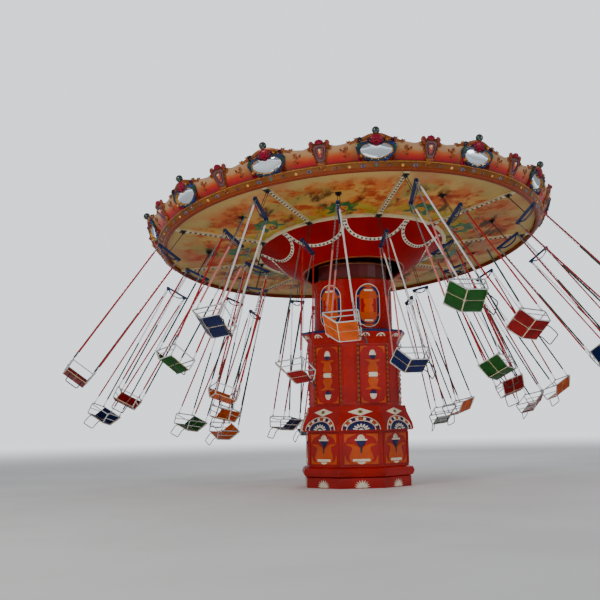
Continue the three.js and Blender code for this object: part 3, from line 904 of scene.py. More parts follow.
def shifted(laid, across=0, lift=0):
    """The same surface, with its middle moved across or its face lifted."""
    return lambda flat: laid(flat + (across, 0, lift))


# Pieces

class Piece:
    """Corners and faces gathered for one object, each face with its finish."""

    def __init__(self, name):
        self.name = name
        self.points, self.faces, self.finishes, self.used = [], [], [], []
        self.count = 0

    def add(self, shape, finish, laid=None):
        points, faces = shape
        points = laid(points) if laid else points
        if finish not in self.used:
            self.used.append(finish)
        self.faces += [tuple(self.count + v for v in face) for face in faces]
        self.finishes += [self.used.index(finish)] * len(faces)
        self.points.append(points)
        self.count += len(points)

    def carve(self, laid, relief, shapes):
        """Adds shapes given by maker, outline, height in reliefs, middle and finish."""
        for make, outline, height, middle, finish in shapes:
            self.add(make(outline, relief * height, centre=(0, middle)), finish, laid)

    def petals(self, laid, shape, angles, middle, proud, finish, sunk=0.006, steps=3):
        """Adds petals of one shape round a middle."""
        for angle in angles:
            self.add(dome(turned_by(shape, angle) + middle, proud, sunk, steps), finish, laid)

    def mesh(self, sharp=35):
        """The mesh, with doubles merged, faces outwards and edges sharp past an angle."""
        mesh = bpy.data.meshes.new(self.name)
        mesh.from_pydata(np.vstack(self.points).tolist(), [], self.faces)
        mesh.polygons.foreach_set("material_index", self.finishes)
        for finish in self.used:
            mesh.materials.append(FINISHES[finish])
        edit = bmesh.new()
        edit.from_mesh(mesh)
        bmesh.ops.remove_doubles(edit, verts=edit.verts, dist=1e-5)
        bmesh.ops.recalc_face_normals(edit, faces=edit.faces)
        edit.to_mesh(mesh)
        edit.free()
        return finished_mesh(mesh, sharp)

    def stand(self, body, slot, replaces=()):
        """Makes the object, riding on its body."""
        stood(self.name, self.mesh(), body, slot, replaces)


def finished_mesh(mesh, sharp):
    mesh.polygons.foreach_set("use_smooth", [True] * len(mesh.polygons))
    mesh.set_sharp_from_angle(angle=math.radians(sharp))
    mesh.update()
    return mesh


def linked(name, data):
    """A new object in the scene."""
    made = bpy.data.objects.new(name, data)
    bpy.context.scene.collection.objects.link(made)
    return made


def stood(name, mesh, body, slot, replaces=()):
    made = linked(name, mesh)
    if replaces:
        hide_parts(*replaces)
    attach(made, body)


# Geometry Nodes trees

class Tree(Nodes):
    """A Geometry Nodes tree as it is put together, with named inputs."""

    def __init__(self, name, inputs):
        self.tree = bpy.data.node_groups.new(name, "GeometryNodeTree")
        face = self.tree.interface
        face.new_socket("Geometry", in_out="OUTPUT", socket_type="NodeSocketGeometry")
        for title, kind in (("Geometry", "Geometry"), *inputs, ("Material", "Material")):
            face.new_socket(title, in_out="INPUT", socket_type="NodeSocket" + kind)
        self.given = self.node("NodeGroupInput").outputs
        self.result = self.node("NodeGroupOutput")

    def made(self, kind, inputs=None, settings=None):
        """First output of a new node."""
        return self.node(kind, settings, inputs).outputs[0]

    def times(self, first, second, operation="MULTIPLY"):
        return self.made("ShaderNodeMath", {0: first, 1: second}, {"operation": operation})

    def finish(self, geometry):
        """Ends the tree: the instances realized and painted."""
        real = self.made("GeometryNodeRealizeInstances", {"Geometry": geometry})
        smooth = self.made("GeometryNodeSetShadeSmooth", {"Geometry": real})
        paint = {"Geometry": smooth, "Material": self.given["Material"]}
        painted = self.made("GeometryNodeSetMaterial", paint)
        self.tree.links.new(painted, self.result.inputs[0])
        return self

    def applied(self, name, carrier, values):
        """A plain mesh of what the tree makes of a carrier mesh."""
        source = linked(name, carrier)
        modifier = source.modifiers.new("maker", "NODES")
        modifier.node_group = self.tree
        for socket in self.tree.interface.items_tree:
            if socket.in_out == "INPUT" and socket.name in values:
                modifier[socket.identifier] = values[socket.name]
        graph = bpy.context.evaluated_depsgraph_get()
        made = bpy.data.meshes.new_from_object(source.evaluated_get(graph), depsgraph=graph)
        source.modifiers.remove(modifier)
        bpy.data.objects.remove(source)
        made.name = name
        made.materials.clear()
        made.materials.append(values["Material"])
        made.polygons.foreach_set("material_index", [0] * len(made.polygons))
        return made


def stud_tree(sides, rings):
    """Places a domed stud at each point, facing the way that the point's facing says."""
    build = Tree("studs", [("Radius", "Float"), ("Flatness", "Float")])
    given = build.given
    globe = {"Segments": sides, "Rings": rings, "Radius": given["Radius"]}
    stud = build.made("GeometryNodeMeshUVSphere", globe)
    size = build.made("ShaderNodeCombineXYZ", {0: 1.0, 1: 1.0, 2: given["Flatness"]})
    flat = build.made("GeometryNodeTransform", {"Geometry": stud, "Scale": size})
    facing = build.made("GeometryNodeInputNamedAttribute", {"Name": "facing"}, {"data_type": "FLOAT_VECTOR"})
    turn = build.made("FunctionNodeAlignRotationToVector", {"Vector": facing}, {"axis": "Z"})
    placed = {"Points": given["Geometry"], "Instance": flat, "Rotation": turn}
    return build.finish(build.made("GeometryNodeInstanceOnPoints", placed))


def link_tree():
    """Strings chain links along straight edges, each turned square to the one before."""
    build = Tree("links", [("Pitch", "Float"), ("Wire", "Float")])
    pitch = build.given["Pitch"]
    curve = build.made("GeometryNodeMeshToCurve", {"Mesh": build.given["Geometry"]})
    points = build.made("GeometryNodeResampleCurve", {"Curve": curve, "Length": pitch}, {"mode": "LENGTH"})
    circle_node, by_radius = "GeometryNodeCurvePrimitiveCircle", {"mode": "RADIUS"}
    loop = build.made(circle_node, {"Resolution": 8, "Radius": 1.0}, by_radius)
    size = {0: build.times(pitch, 0.33), 1: build.times(pitch, 0.64), 2: 1.0}
    size = build.made("ShaderNodeCombineXYZ", size)
    shape = build.made("GeometryNodeTransform", {"Geometry": loop, "Scale": size})
    wire = build.made(circle_node, {"Resolution": 4, "Radius": build.given["Wire"]}, by_radius)
    link = build.made("GeometryNodeCurveToMesh", {"Curve": shape, "Profile Curve": wire})
    turn = {"Vector": build.made("GeometryNodeInputTangent")}
    turn = build.made("FunctionNodeAlignRotationToVector", turn, {"axis": "Y"})
    placed = {"Points": points, "Instance": link, "Rotation": turn}
    placed = build.made("GeometryNodeInstanceOnPoints", placed)
    odd = build.times(build.made("GeometryNodeInputIndex"), 2.0, "MODULO")
    spin = build.made("ShaderNodeCombineXYZ", {0: 0.0, 1: build.times(odd, math.pi / 2), 2: 0.0})
    return build.finish(build.made("GeometryNodeRotateInstances", {"Instances": placed, "Rotation": spin}))


class Studs:
    """Points and facings of one set of studs, which Geometry Nodes turns into lamps or bolts."""

    def __init__(self, name):
        self.name = name
        self.points, self.facings = [], []

    def add(self, flat, laid):
        """Studs at flat places of across and height."""
        flat = np.asarray(flat, float).reshape(-1, 2)
        low = laid(np.column_stack([flat, np.zeros(len(flat))]))
        high = laid(np.column_stack([flat, np.full(len(flat), 0.01)]))
        self.points.append(low)
        self.facings.append((high - low) / 0.01)

    def stand(self, body, slot, finish, radius, flatness=1.0, sides=10, rings=6):
        carrier = bpy.data.meshes.new(self.name + "_points")
        points = np.vstack(self.points)
        carrier.from_pydata(points.tolist(), [], [])
        facing = carrier.attributes.new("facing", "FLOAT_VECTOR", "POINT")
        facing.data.foreach_set("vector", np.vstack(self.facings).astype(np.float32).ravel())
        values = {"Radius": radius, "Flatness": flatness, "Material": FINISHES[finish]}
        mesh = stud_tree(sides, rings).applied(self.name, carrier, values)
        stood(self.name, mesh, body, slot)


def lengths_along(path):
    """Length of a flat path up to each of its points."""
    return np.concatenate([[0], np.cumsum(np.hypot(*np.diff(path, axis=0).T))])


def spaced(path, pitch):
    """Points along a flat path, a pitch apart."""
    path = np.asarray(path, float)
    steps = lengths_along(path)
    count = max(1, int(round(steps[-1] / pitch)))
    at = (np.arange(count) + 0.5) * steps[-1] / count
    return np.column_stack([np.interp(at, steps, line) for line in path.T])


# Surfaces that drawn pieces share with their ornament

BOWL_SKIRT = smooth_path([
    (2.282, -0.214), (2.048, -0.332), (1.698, -0.602), (1.33, -0.802), (1.20, -0.832)], 30)
RIM_FACE = smooth_path([
    (4.655, RIM_FOOT), (4.675, -0.067), (4.688, -0.048), (4.706, -0.028), (4.730, -0.002), (4.754, 0.028),
    (4.778, 0.055), (4.800, 0.069), (4.813, 0.076), (4.815, RIM_TOP)], 41)
RIM_MIDDLE = 0.122
BOARD_HEIGHTS = np.linspace(RIM_TOP, 0.80, 18)
BOARD_MIDDLE_R = 4.93


def board_radius(height):
    """Outer radius of the rounding boards, with their slight swell."""
    rise = np.clip((np.asarray(height) - RIM_TOP) / 0.42, 0, 1)
    return BOARD_FOOT_R + (height - RIM_TOP) * BOARD_LEAN + 0.024 * np.sin(np.pi * rise)


BOARD_FACE = np.column_stack([board_radius(BOARD_HEIGHTS), BOARD_HEIGHTS])


def on_turned(profile, azimuth, middle, keys=None, side=1):
    """Lays shapes on a turned surface of the canopy.

    Across is the length of an arc at the middle radius. Height runs along the profile, by its
    length or by the keys given for its points.
    """
    keys = lengths_along(profile) if keys is None else keys
    out = beside(profile) * side

    def laid(flat):
        turn = math.radians(azimuth) + flat[:, 0] / middle
        radius, height = (
            np.interp(flat[:, 1], keys, profile[:, k]) + np.interp(flat[:, 1], keys, out[:, k]) * flat[:, 2]
            for k in (0, 1))
        return moved(round_axis(radius, turn, height), CANOPY)
    return laid


def on_bowl(azimuth):
    return on_turned(BOWL_SKIRT, azimuth, 2.0)


def on_rim(azimuth):
    return on_turned(RIM_FACE, azimuth, 4.7, side=-1)


def on_boards(azimuth):
    return on_turned(BOARD_FACE, azimuth, BOARD_MIDDLE_R, BOARD_HEIGHTS, -1)


def both_sides(outline):
    outline = np.asarray(outline, float)
    return outline, outline[::-1] * (-1, 1)


# Ornament of the tower, in metres on its sides

def lower_ornament(piece, laid, relief):
    """Urn, bell and spandrels of a lower panel."""
    border = box_outline((-0.465, 0.535), (0.465, 1.305), 0.02)
    piece.add(hoop(border, 0.95, relief * 1.3, centre=(0, 0.92)), "red", laid)
    top = [(-0.40, 1.275), (-0.40, 1.10), (-0.375, 1.05), (-0.355, 1.12), (-0.30, 1.19), (-0.20, 1.228),
           (-0.12, 1.256), (-0.12, 1.275)]
    foot = [(-0.40, 0.56), (-0.40, 0.74), (-0.385, 0.78), (-0.365, 0.70), (-0.32, 0.63), (-0.25, 0.60),
            (-0.19, 0.578), (-0.19, 0.56)]
    for shape, across, height in ((top, -0.37, 1.235), (foot, -0.372, 0.60)):
        for hand, outline in zip((1, -1), both_sides(shape)):
            piece.add(raised(outline, relief, centre=(across * hand, height)), "orange", laid)
    urn = mirrored([
        (0, 0.555), (0.16, 0.565), (0.245, 0.615), (0.285, 0.70), (0.27, 0.78), (0.235, 0.86), (0.212, 0.93),
        (0.235, 0.972), (0.31, 0.995), (0.385, 1.03), (0.31, 1.045), (0.20, 1.035), (0.11, 1.00),
        (0.04, 0.945), (0, 0.93)])
    stem = [(-0.025, 1.0), (-0.02, 0.84), (0, 0.80), (0.02, 0.84), (0.025, 1.0)]
    cup = mirrored([(0, 0.955), (0.05, 0.985), (0.105, 1.06), (0.125, 1.115), (0, 1.125)])
    piece.carve(laid, relief, (
        (raised, urn, 1.2, 0.88, "orange"),
        (raised, box_outline((-0.21, 0.625), (0.21, 0.685), 0.02), 2.2, 0.655, "cream"),
        (raised, arc_path(0.10, -0.05, 0, 180, 12, (0, 0.612)), 1.8, 0.60, "cream"),
        (raised, stem, 1.9, 0.92, "foot"),
        (dome, cup, 2.4, 1.06, "navy"),
        (raised, box_outline((-0.15, 1.112), (0.15, 1.15), 0.018), 2.6, 1.13, "cream"),
        (dome, arc_path(0.095, 0.115, 0, 180, 16, (0, 1.145)), 2.8, 1.18, "cream")))
    for k in (-1, 0, 1):
        piece.add(ribbon([(0.035 * k, 1.155), (0.028 * k, 1.235)], 0.006, relief * 3.4), "border", laid)


def band_ornament(piece, laid, relief):
    """Diamond over an arch with a shell in it."""
    diamond = [(-0.30, 1.79), (0, 1.70), (0.30, 1.79), (0, 1.88)]
    piece.carve(laid, relief, (
        (raised, diamond, 1, 1.79, "cream"),
        (dome, oval(0.07, 0.045, 18, (0, 1.79)), 2.4, 1.79, "bright_gilt"),
        (dome, oval(0.048, 0.034, 18, (0, 1.79)), 3.2, 1.79, "leaf")))
    foot = (0, 1.362)
    piece.add(ribbon(arc_path(0.398, 0.268, 0, 180, 40, foot), 0.048, relief * 0.6), "deep_red", laid)
    for wide, high in ((0.455, 0.322), (0.345, 0.222)):
        piece.add(ribbon(arc_path(wide, high, 0, 180, 44, foot), 0.011, relief * 1.5), "cream", laid)
    blocks, span, gap = 13, 168, 1.5
    for k in range(blocks):
        start, end = (6 + span * end / blocks for end in (k, k + 1))
        outer = arc_path(0.432, 0.300, start + gap, end - gap, 4, foot)
        inner = arc_path(0.367, 0.235, end - gap, start + gap, 4, foot)
        finish = ("navy", "cream", "orange", "cream")[k % 4]
        piece.add(raised(np.vstack([outer, inner]), relief * 1.2), finish, laid)
    piece.carve(laid, relief, ((raised, arc_path(0.325, 0.205, 0, 180, 20, foot), 0.9, 1.43, "navy"),))
    for k in range(7):
        lobe = oval(0.024, 0.058, 14, (0, 0.118))
        outline = turned_by(lobe, -75 + 25 * k) * (1.25, 0.92) + foot
        outline[:, 1] = np.maximum(outline[:, 1], foot[1])
        piece.add(dome(outline, relief * 1.8), "cream", laid)
    piece.carve(laid, relief, ((dome, arc_path(0.060, 0.042, 0, 180, 12, foot), 2.6, 1.378, "cream"),))


def base_ornament(piece, laid, relief):
    """Spread shell at the foot."""
    foot = (0, 0.018)
    for k in range(9):
        lobe = petal(0.17 + 0.025 * math.sin(math.pi * (k + 0.5) / 9), 0.020)
        piece.add(dome(turned_by(lobe, -80 + 20 * k) * (1.15, 1) + foot, relief * 1.4), "cream", laid)
    piece.carve(laid, relief, ((dome, arc_path(0.05, 0.045, 0, 180, 10, foot), 2.2, 0.035, "cream"),))


PANEL_MIDDLE = 2.675


def upper_ornament(piece, laid, relief):
    """Two vases foot to foot between bulbs, in a panel with spandrels."""
    middle = (0, PANEL_MIDDLE)
    border = box_outline((-0.345, 1.985), (0.345, 3.385), 0.02)
    piece.add(hoop(border, 0.97, relief, centre=(0, 2.685)), "red", laid)
    vase = mirrored([
        (0, 0.06), (0.10, 0.065), (0.135, 0.11), (0.14, 0.16), (0.11, 0.22), (0.085, 0.28), (0.105, 0.315),
        (0.17, 0.325), (0.215, 0.345), (0.16, 0.362), (0.09, 0.358), (0.03, 0.345), (0, 0.34)])
    corner = [(-0.32, 0.68), (-0.32, 0.50), (-0.30, 0.53), (-0.275, 0.60), (-0.22, 0.64), (-0.13, 0.66),
              (-0.13, 0.68)]
    cup = mirrored([(0, 0.365), (0.045, 0.375), (0.075, 0.41), (0.082, 0.455), (0, 0.462)])
    bell = mirrored([(0, 0.452), (0.094, 0.452), (0.088, 0.49), (0.068, 0.55), (0.040, 0.585), (0, 0.592)])
    for way in (1, -1):
        flip = np.array((1, way))
        for hand, outline in zip((-1, 1), both_sides(corner)):
            centre = flip * (0.298 * hand, 0.655) + middle
            piece.add(raised(outline * flip + middle, relief, centre=centre), "orange", laid)
        piece.carve(laid, relief, (
            (raised, vase * flip + middle, 1.2, PANEL_MIDDLE + 0.25 * way, "orange"),
            (dome, cup * flip + middle, 2.4, PANEL_MIDDLE + 0.42 * way, "navy"),
            (dome, bell * flip + middle, 2.8, PANEL_MIDDLE + 0.51 * way, "cream")))
    dart = mirrored([(0, -0.02), (0.11, -0.03), (0.15, -0.018), (0.24, 0), (0.15, 0.018), (0.11, 0.03),
                     (0, 0.02)])
    label = box_outline((-0.115, PANEL_MIDDLE - 0.055), (0.115, PANEL_MIDDLE + 0.055), 0.012)
    piece.carve(laid, relief, (
        (raised, dart + middle, 1.5, PANEL_MIDDLE, "orange"),
        (raised, label, 2.2, PANEL_MIDDLE, "cream")))


def cornice_ornament(piece, laid, relief):
    """Small shell arch under the cornice's edge."""
    foot = (0, 3.585)
    piece.add(ribbon(arc_path(0.10, 0.068, 0, 180, 16, foot), 0.016, relief * 1.3), "cream", laid)
    piece.carve(laid, relief, ((dome, arc_path(0.052, 0.036, 0, 180, 12, foot), 1.6, 3.598, "orange"),))
    piece.petals(laid, petal(0.05, 0.012), range(-60, 61, 30), foot, relief * 2.2, "cream")


# Operators

class RIDE_OT_finishes(bpy.types.Operator):
    """Make the materials and put them on the solids of the frame that stay in view"""

    bl_idname = "ride.finishes"
    bl_label = "Finishes"

    def execute(self, context):
        make_finishes(context.scene.ride_colours, context.scene.ride_sizes)
        for finish, nodes in {
                "red": ("base_plinth", "base_moulding", "lower_tower", "mid_band", "upper_tower"),
                "cornice": ("tower_cornice",), "turret": ("mast_turret",), "dark_steel": ("tilt_head",),
                "frame_steel": ("canopy_frame",), "ceiling": ("ceiling_panels",), "ribs": ("ceiling_ribs",),
                "roof": ("roof_cover",)}.items():
            for node in nodes:
                mesh = frame["nodes"][node].data
                mesh.materials.clear()
                mesh.materials.append(FINISHES[finish])
        return {"FINISHED"}


class RIDE_OT_lower_tower(bpy.types.Operator):
    """Carve the urns of the lower panels and the shells of the plinth"""

    bl_idname = "ride.lower_tower"
    bl_label = "Lower tower"

    def execute(self, context):
        relief = context.scene.ride_sizes.relief
        panels, shells = Piece("lower_ornament"), Piece("base_shells")
        tower, plinth = Skin("lower_tower"), Skin("base_plinth")
        for azimuth in LOWER_SIDES:
            lower_ornament(panels, tower.side(azimuth), relief)
            base_ornament(shells, plinth.side(azimuth), relief)
        panels.stand("foundation", "tower_paint")
        shells.stand("foundation", "tower_paint")
        return {"FINISHED"}


class RIDE_OT_mid_band(bpy.types.Operator):
    """Carve the arches and diamonds of the middle band"""

    bl_idname = "ride.mid_band"
    bl_label = "Middle band"

    def execute(self, context):
        piece, skin = Piece("band_ornament"), Skin("mid_band")
        for azimuth in LOWER_SIDES:
            band_ornament(piece, skin.side(azimuth), context.scene.ride_sizes.relief)
        piece.stand("foundation", "tower_paint")
        return {"FINISHED"}


class RIDE_OT_upper_tower(bpy.types.Operator):
    """Carve the upper panels and set their strips of lamps"""

    bl_idname = "ride.upper_tower"
    bl_label = "Upper tower"

    def execute(self, context):
        sizes = context.scene.ride_sizes
        relief = sizes.relief
        piece, skin = Piece("upper_ornament"), Skin("upper_tower")
        lamps, cups = Studs("tower_lamps"), Studs("tower_lamp_cups")
        for azimuth in WIDE_SIDES:
            laid = skin.side(azimuth)
            upper_ornament(piece, laid, relief)
            for across in (-0.383, 0.383):
                strip = [(across, 1.955), (across, 3.41)]
                piece.add(ribbon(strip, 0.026, relief * 0.9), "gilt", laid)
                places = spaced(strip, sizes.lamp_pitch)
                lamps.add(places, shifted(laid, lift=relief * 0.9))
                cups.add(places, shifted(laid, lift=relief * 0.7))
        for azimuth in NARROW_SIDES:
            border = box_outline((-0.155, 1.975), (0.155, 3.395), 0.015)
            piece.add(hoop(border, 0.93, relief, centre=(0, 2.685)), "red", skin.side(azimuth))
        piece.stand("foundation", "tower_paint")
        lamps.stand("foundation", "lamp_glass", "lamp", 0.020)
        cups.stand("foundation", "trim_gold", "deep_red", 0.030, 0.35, 12, 6)
        return {"FINISHED"}


class RIDE_OT_cornice(bpy.types.Operator):
    """Carve the small arches under the tower's cornice"""

    bl_idname = "ride.cornice"
    bl_label = "Tower cornice"

    def execute(self, context):
        piece, skin = Piece("cornice_ornament"), Skin("tower_cornice")
        places = [(azimuth, across) for azimuth in WIDE_SIDES for across in (-0.2, 0.2)]
        for azimuth, across in places + [(azimuth, 0) for azimuth in NARROW_SIDES]:
            laid = shifted(skin.side(azimuth), across)
            cornice_ornament(piece, laid, context.scene.ride_sizes.relief)
        piece.stand("foundation", "cornice_paint")
        return {"FINISHED"}


class RIDE_OT_mast(bpy.types.Operator):
    """Make the round mast and the trim of the turret on it"""

    bl_idname = "ride.mast"
    bl_label = "Mast"

    def execute(self, context):
        column, trim = Piece("mast_tube"), Piece("turret_trim")
        foot, top, wall, radius, edge = 1.6, 5.0, 0.06, 0.9636, 0.006
        column.add(lathe([
            (0, top), (0, top - wall), (radius - wall, top - wall), (radius - wall, foot), (radius, foot),
            (radius, top - edge), (radius - edge, top)], 144), "mast")
        column.stand("mast", "mast_paint", ["mast_column"])
        for height, thick in ((5.035, 0.018), (5.385, 0.014)):
            trim.add(tube(circle(0.85, height, 3.75), thick, 8, True), "gilt")
        trim.stand("turret", "turret_paint")
        return {"FINISHED"}


SWAG = smooth_path([
    (-0.672, 0.015), (-0.668, 0.16), (-0.62, 0.34), (-0.50, 0.49), (-0.32, 0.59), (-0.15, 0.63), (0, 0.64),
    (0.15, 0.63), (0.32, 0.59), (0.50, 0.49), (0.62, 0.34), (0.668, 0.16), (0.672, 0.015)], 61)


class RIDE_OT_bowl(bpy.types.Operator):
    """Make the bowl under the canopy, with its swags and their lamps"""

    bl_idname = "ride.bowl"
    bl_label = "Centre bowl"

    def execute(self, context):
        sizes = context.scene.ride_sizes
        bowl, swags, lamps = Piece("bowl_shell"), Piece("bowl_swags"), Studs("swag_lamps")
        inside = smooth_path([(1.20, -0.800), (1.68, -0.567), (2.02, -0.302), (2.17, -0.1790)], 14)
        profile = [*BOWL_SKIRT[::-1], (2.282, -0.1742), (2.17, -0.1827), *inside[::-1][1:]]
        bowl.add(lathe(profile, 180), "crimson", ON_CANOPY)
        bowl.stand("canopy", "bowl_paint", ["centre_bowl"])
        swags.add(tube(circle(2.286, -0.196, 2), 0.012, 8, True), "cream", ON_CANOPY)
        swags.add(tube(circle(1.262, -0.826, 3), 0.016, 8, True), "gilt", ON_CANOPY)
        for azimuth in RIB_AZIMUTHS:
            laid = on_bowl(azimuth)
            swags.add(ribbon(SWAG, 0.046, 0.010), "cream", laid)
            lamps.add(spaced(SWAG, sizes.lamp_pitch), shifted(laid, lift=0.010))
        swags.stand("canopy", "trim_paint")
        lamps.stand("canopy", "lamp_glass", "lamp", sizes.lamp_radius, 0.7)
        return {"FINISHED"}


SIX_WAYS = range(0, 360, 60)


def leaf_scroll(piece, laid, hand):
    """Half of a painted acanthus spray, drawn as low relief."""
    stem, widths = scroll((0.0, 2.52), 90 - 66 * hand, 0.42, 0.60, hand, 18)
    piece.add(ribbon(stem, widths * 0.9, 0.004, 0.002), "leaf", laid)
    for k, (at, size, angle) in enumerate(((4, 0.24, 10), (8, 0.26, 45), (12, 0.22, 95), (16, 0.17, 140))):
        for way in (1, -1):
            turns, finish = [(angle - 90 + 42 * way) * hand], "leaf" if (k + way) % 3 else "moss"
            piece.petals(laid, petal(size, size * 0.25), turns, stem[at], 0.005, finish, 0.002, 2)


class RIDE_OT_ceiling(bpy.types.Operator):
    """Decorate the ceiling, and set the lamps and bolts of its ribs"""

    bl_idname = "ride.ceiling"
    bl_label = "Ceiling and ribs"

    def execute(self, context):
        ceiling, ribs = Skin("ceiling_panels", CANOPY), Skin("ceiling_ribs", CANOPY)
        sprays, edges = Piece("ceiling_sprays"), Piece("rib_edges")
        lamps, bolts = Studs("rib_lamps"), Studs("flange_bolts")
        flower, corners = (0, 2.64), np.array(list(product((-0.052, 0.052), repeat=2)))
        for azimuth in RIB_AZIMUTHS:
            between, along = ceiling.under(azimuth + RIB_STEP / 2), ribs.under(azimuth)
            for hand in (1, -1):
                leaf_scroll(sprays, between, hand)
            sprays.petals(between, petal(0.105, 0.036), SIX_WAYS, flower, 0.009, "shell", 0.002, 2)
            sprays.add(dome(oval(0.034, 0.034, 12, flower), 0.013, 0.002, 2), "yellow", between)
            for across in (-0.054, 0.054):
                edge = [(across, 2.52), (across, 3.4), (across, 4.24)]
                edges.add(ribbon(edge, 0.006, 0.005), "gilt", along)
            lamps.add(spaced([(0, 2.52), (0, 4.27)], 0.125), along)
            for radius, laid in ((4.388, along), (2.370, along), (3.554, between)):
                bolts.add(corners + (0, radius), laid)
        sprays.stand("canopy", "ceiling_paint")
        edges.stand("canopy", "rib_paint")
        lamps.stand("canopy", "lamp_glass", "lamp", 0.032, 0.8)
        bolts.stand("canopy", "head_steel", "dark_steel", 0.011, 0.8, 6, 4)
        return {"FINISHED"}


class RIDE_OT_rim(bpy.types.Operator):
    """Make the cornice round the ceiling, with its jewels and scrolls"""

    bl_idname = "ride.rim"
    bl_label = "Rim"

    def execute(self, context):
        inner = EDGE_R + 0.0006
        rim = Piece("rim_moulding")
        rim.add(lathe([(inner, RIM_FOOT), *RIM_FACE, (inner, RIM_TOP)], 288), "rim", ON_CANOPY)
        for radius, height, thick, finish in (
                (4.636, -0.070, 0.016, "rim_foot"), (4.690, -0.046, 0.007, "gilt"),
                (4.800, 0.076, 0.012, "bright_gilt")):
            rim.add(tube(circle(radius, height, 1.5), thick, 6, True), finish, ON_CANOPY)
        jewels = {name: Studs(f"rim_{name}") for name in ("jewel_red", "jewel_gold", "jewel_blue")}
        for number in range(MIRRORS * 8):
            if number % 4:
                name = tuple(jewels)[number % 4 - 1]
                laid = on_rim(MIRROR_AZIMUTH + MIRROR_STEP * number / 8)
                jewels[name].add([(0, RIM_MIDDLE)], laid)
                if name == "jewel_blue":
                    rim.add(dome(oval(0.052, 0.040, 18, (0, RIM_MIDDLE)), 0.014), "lilac", laid)
        drop = mirrored([
            (0, 0.078), (0.04, 0.096), (0.050, 0.140), (0.048, 0.190), (0.040, 0.222), (0, 0.226)])
        for azimuth in MIRROR_AZIMUTHS:
            rim.add(dome(drop, 0.018, centre=(0, 0.150)), "mauve", on_rim(azimuth))
            rim.add(dome(oval(0.030, 0.048, 16, (0, 0.130)), 0.034), "jewel_green", on_rim(azimuth))
            laid = on_rim(azimuth + MIRROR_STEP / 2)
            for k in range(-2, 3):
                leaf = petal(0.085 - 0.010 * abs(k), 0.020)
                rim.petals(laid, leaf, [180 + 30 * k], (0, 0.205), 0.020, "gilt")
            for hand in (1, -1):
                path, widths = scroll((0.03 * hand, 0.185), 90 - 100 * hand, 0.10, 0.95, -hand, 14)
                rim.add(ribbon(path, widths * 1.4, 0.018), "gilt", laid)
        rim.stand("canopy", "rim_paint", ["rim_cornice"])
        for name, studs in jewels.items():
            studs.stand("canopy", "lamp_glass", name, 0.036, 0.55, 12, 8)
        return {"FINISHED"}


GABLE = ((0, 1.3, 2.2, 3.2, 4.6, 5.4, 6.6, 8.0, 9.5), (1.0, 0.97, 0.84, 0.66, 0.50, 0.38, 0.22, 0.08, 0.0))


def crest(azimuth, sizes):
    """Height of the boards' wavy top edge."""
    off = abs((azimuth - MIRROR_AZIMUTH + MIRROR_STEP / 2) % MIRROR_STEP - MIRROR_STEP / 2)
    gable = np.interp(off, *GABLE)
    lantern = 0.5 + 0.5 * math.cos(math.pi * min(1.0, (MIRROR_STEP / 2 - off) / 4.2))
    return (sizes.board_dip - 0.012 + (sizes.mirror_crest - sizes.board_dip) * gable
            + (sizes.lantern_crest - sizes.board_dip) * lantern)


class RIDE_OT_boards(bpy.types.Operator):
    """Make the leaning boards round the canopy, their gilt edge and their scrolls"""

    bl_idname = "ride.boards"
    bl_label = "Rounding boards"

    def execute(self, context):
        sizes = context.scene.ride_sizes
        boards, trim = Piece("board_ring"), Piece("board_scrolls")
        steps, layers, foot = 480, 6, RIM_TOP + 0.0004
        azimuths = MIRROR_AZIMUTH + np.arange(steps) * 360 / steps
        turns = np.radians(azimuths)
        tops = np.array([crest(azimuth, sizes) for azimuth in azimuths])
        sections = []
        for turn, top in zip(turns, tops):
            heights = np.linspace(foot, top, layers)
            heights = np.concatenate([heights, heights[::-1]])
            radii = board_radius(heights) - np.repeat((0, BOARD_T), layers)
            sections.append(round_axis(radii, turn, heights))
        boards.add((np.vstack(sections), swept_faces(steps, 2 * layers)), "board", ON_CANOPY)
        edge = round_axis(board_radius(tops) - BOARD_T / 2, turns, tops)
        boards.add(tube(edge, 0.015, 8, True), "gilt", ON_CANOPY)
        boards.stand("canopy", "board_paint", ["rounding_boards"])
        for azimuth, hand in product(MIRROR_AZIMUTHS, (1, -1)):
            board_scrolls(trim, on_boards(azimuth + hand * 7.4), hand)
            for off in (4.4, 6.3):
                foot = (0, crest(azimuth + off, sizes) - 0.030)
                laid = on_boards(azimuth + hand * off)
                for lean, long in ((-62, 0.105), (-20, 0.070)):
                    trim.petals(laid, petal(long, 0.026), [lean * hand], foot, 0.022, "gilt", 0.018)
        trim.stand("canopy", "trim_gold")
        return {"FINISHED"}


def board_scrolls(piece, laid, hand):
    """Flower over a curled stem and leaves, beside a mirror."""
    stem, widths = scroll((0.02 * hand, 0.15), 90 + 25 * hand, 0.17, 0.55, -hand, 18)
    stem[:, 1] = np.clip(stem[:, 1], 0.12, 0.405)
    piece.add(ribbon(stem, widths * 0.9, 0.012), "gilt", laid)
    for at, angle, size in (
            (3, 70, 0.085), (6, -60, 0.080), (9, 80, 0.080), (12, -40, 0.065), (2, -80, 0.070)):
        finish = "gilt" if at % 2 else "rim_foot"
        piece.petals(laid, petal(size, 0.021), [angle * hand], stem[at], 0.014, finish)
    middle = np.array((0.01 * hand, 0.335))
    piece.petals(laid, petal(0.062, 0.020), range(15, 375, 60), middle, 0.016, "gilt")
    piece.add(dome(oval(0.018, 0.018, 10, middle), 0.022), "rim_foot", laid)


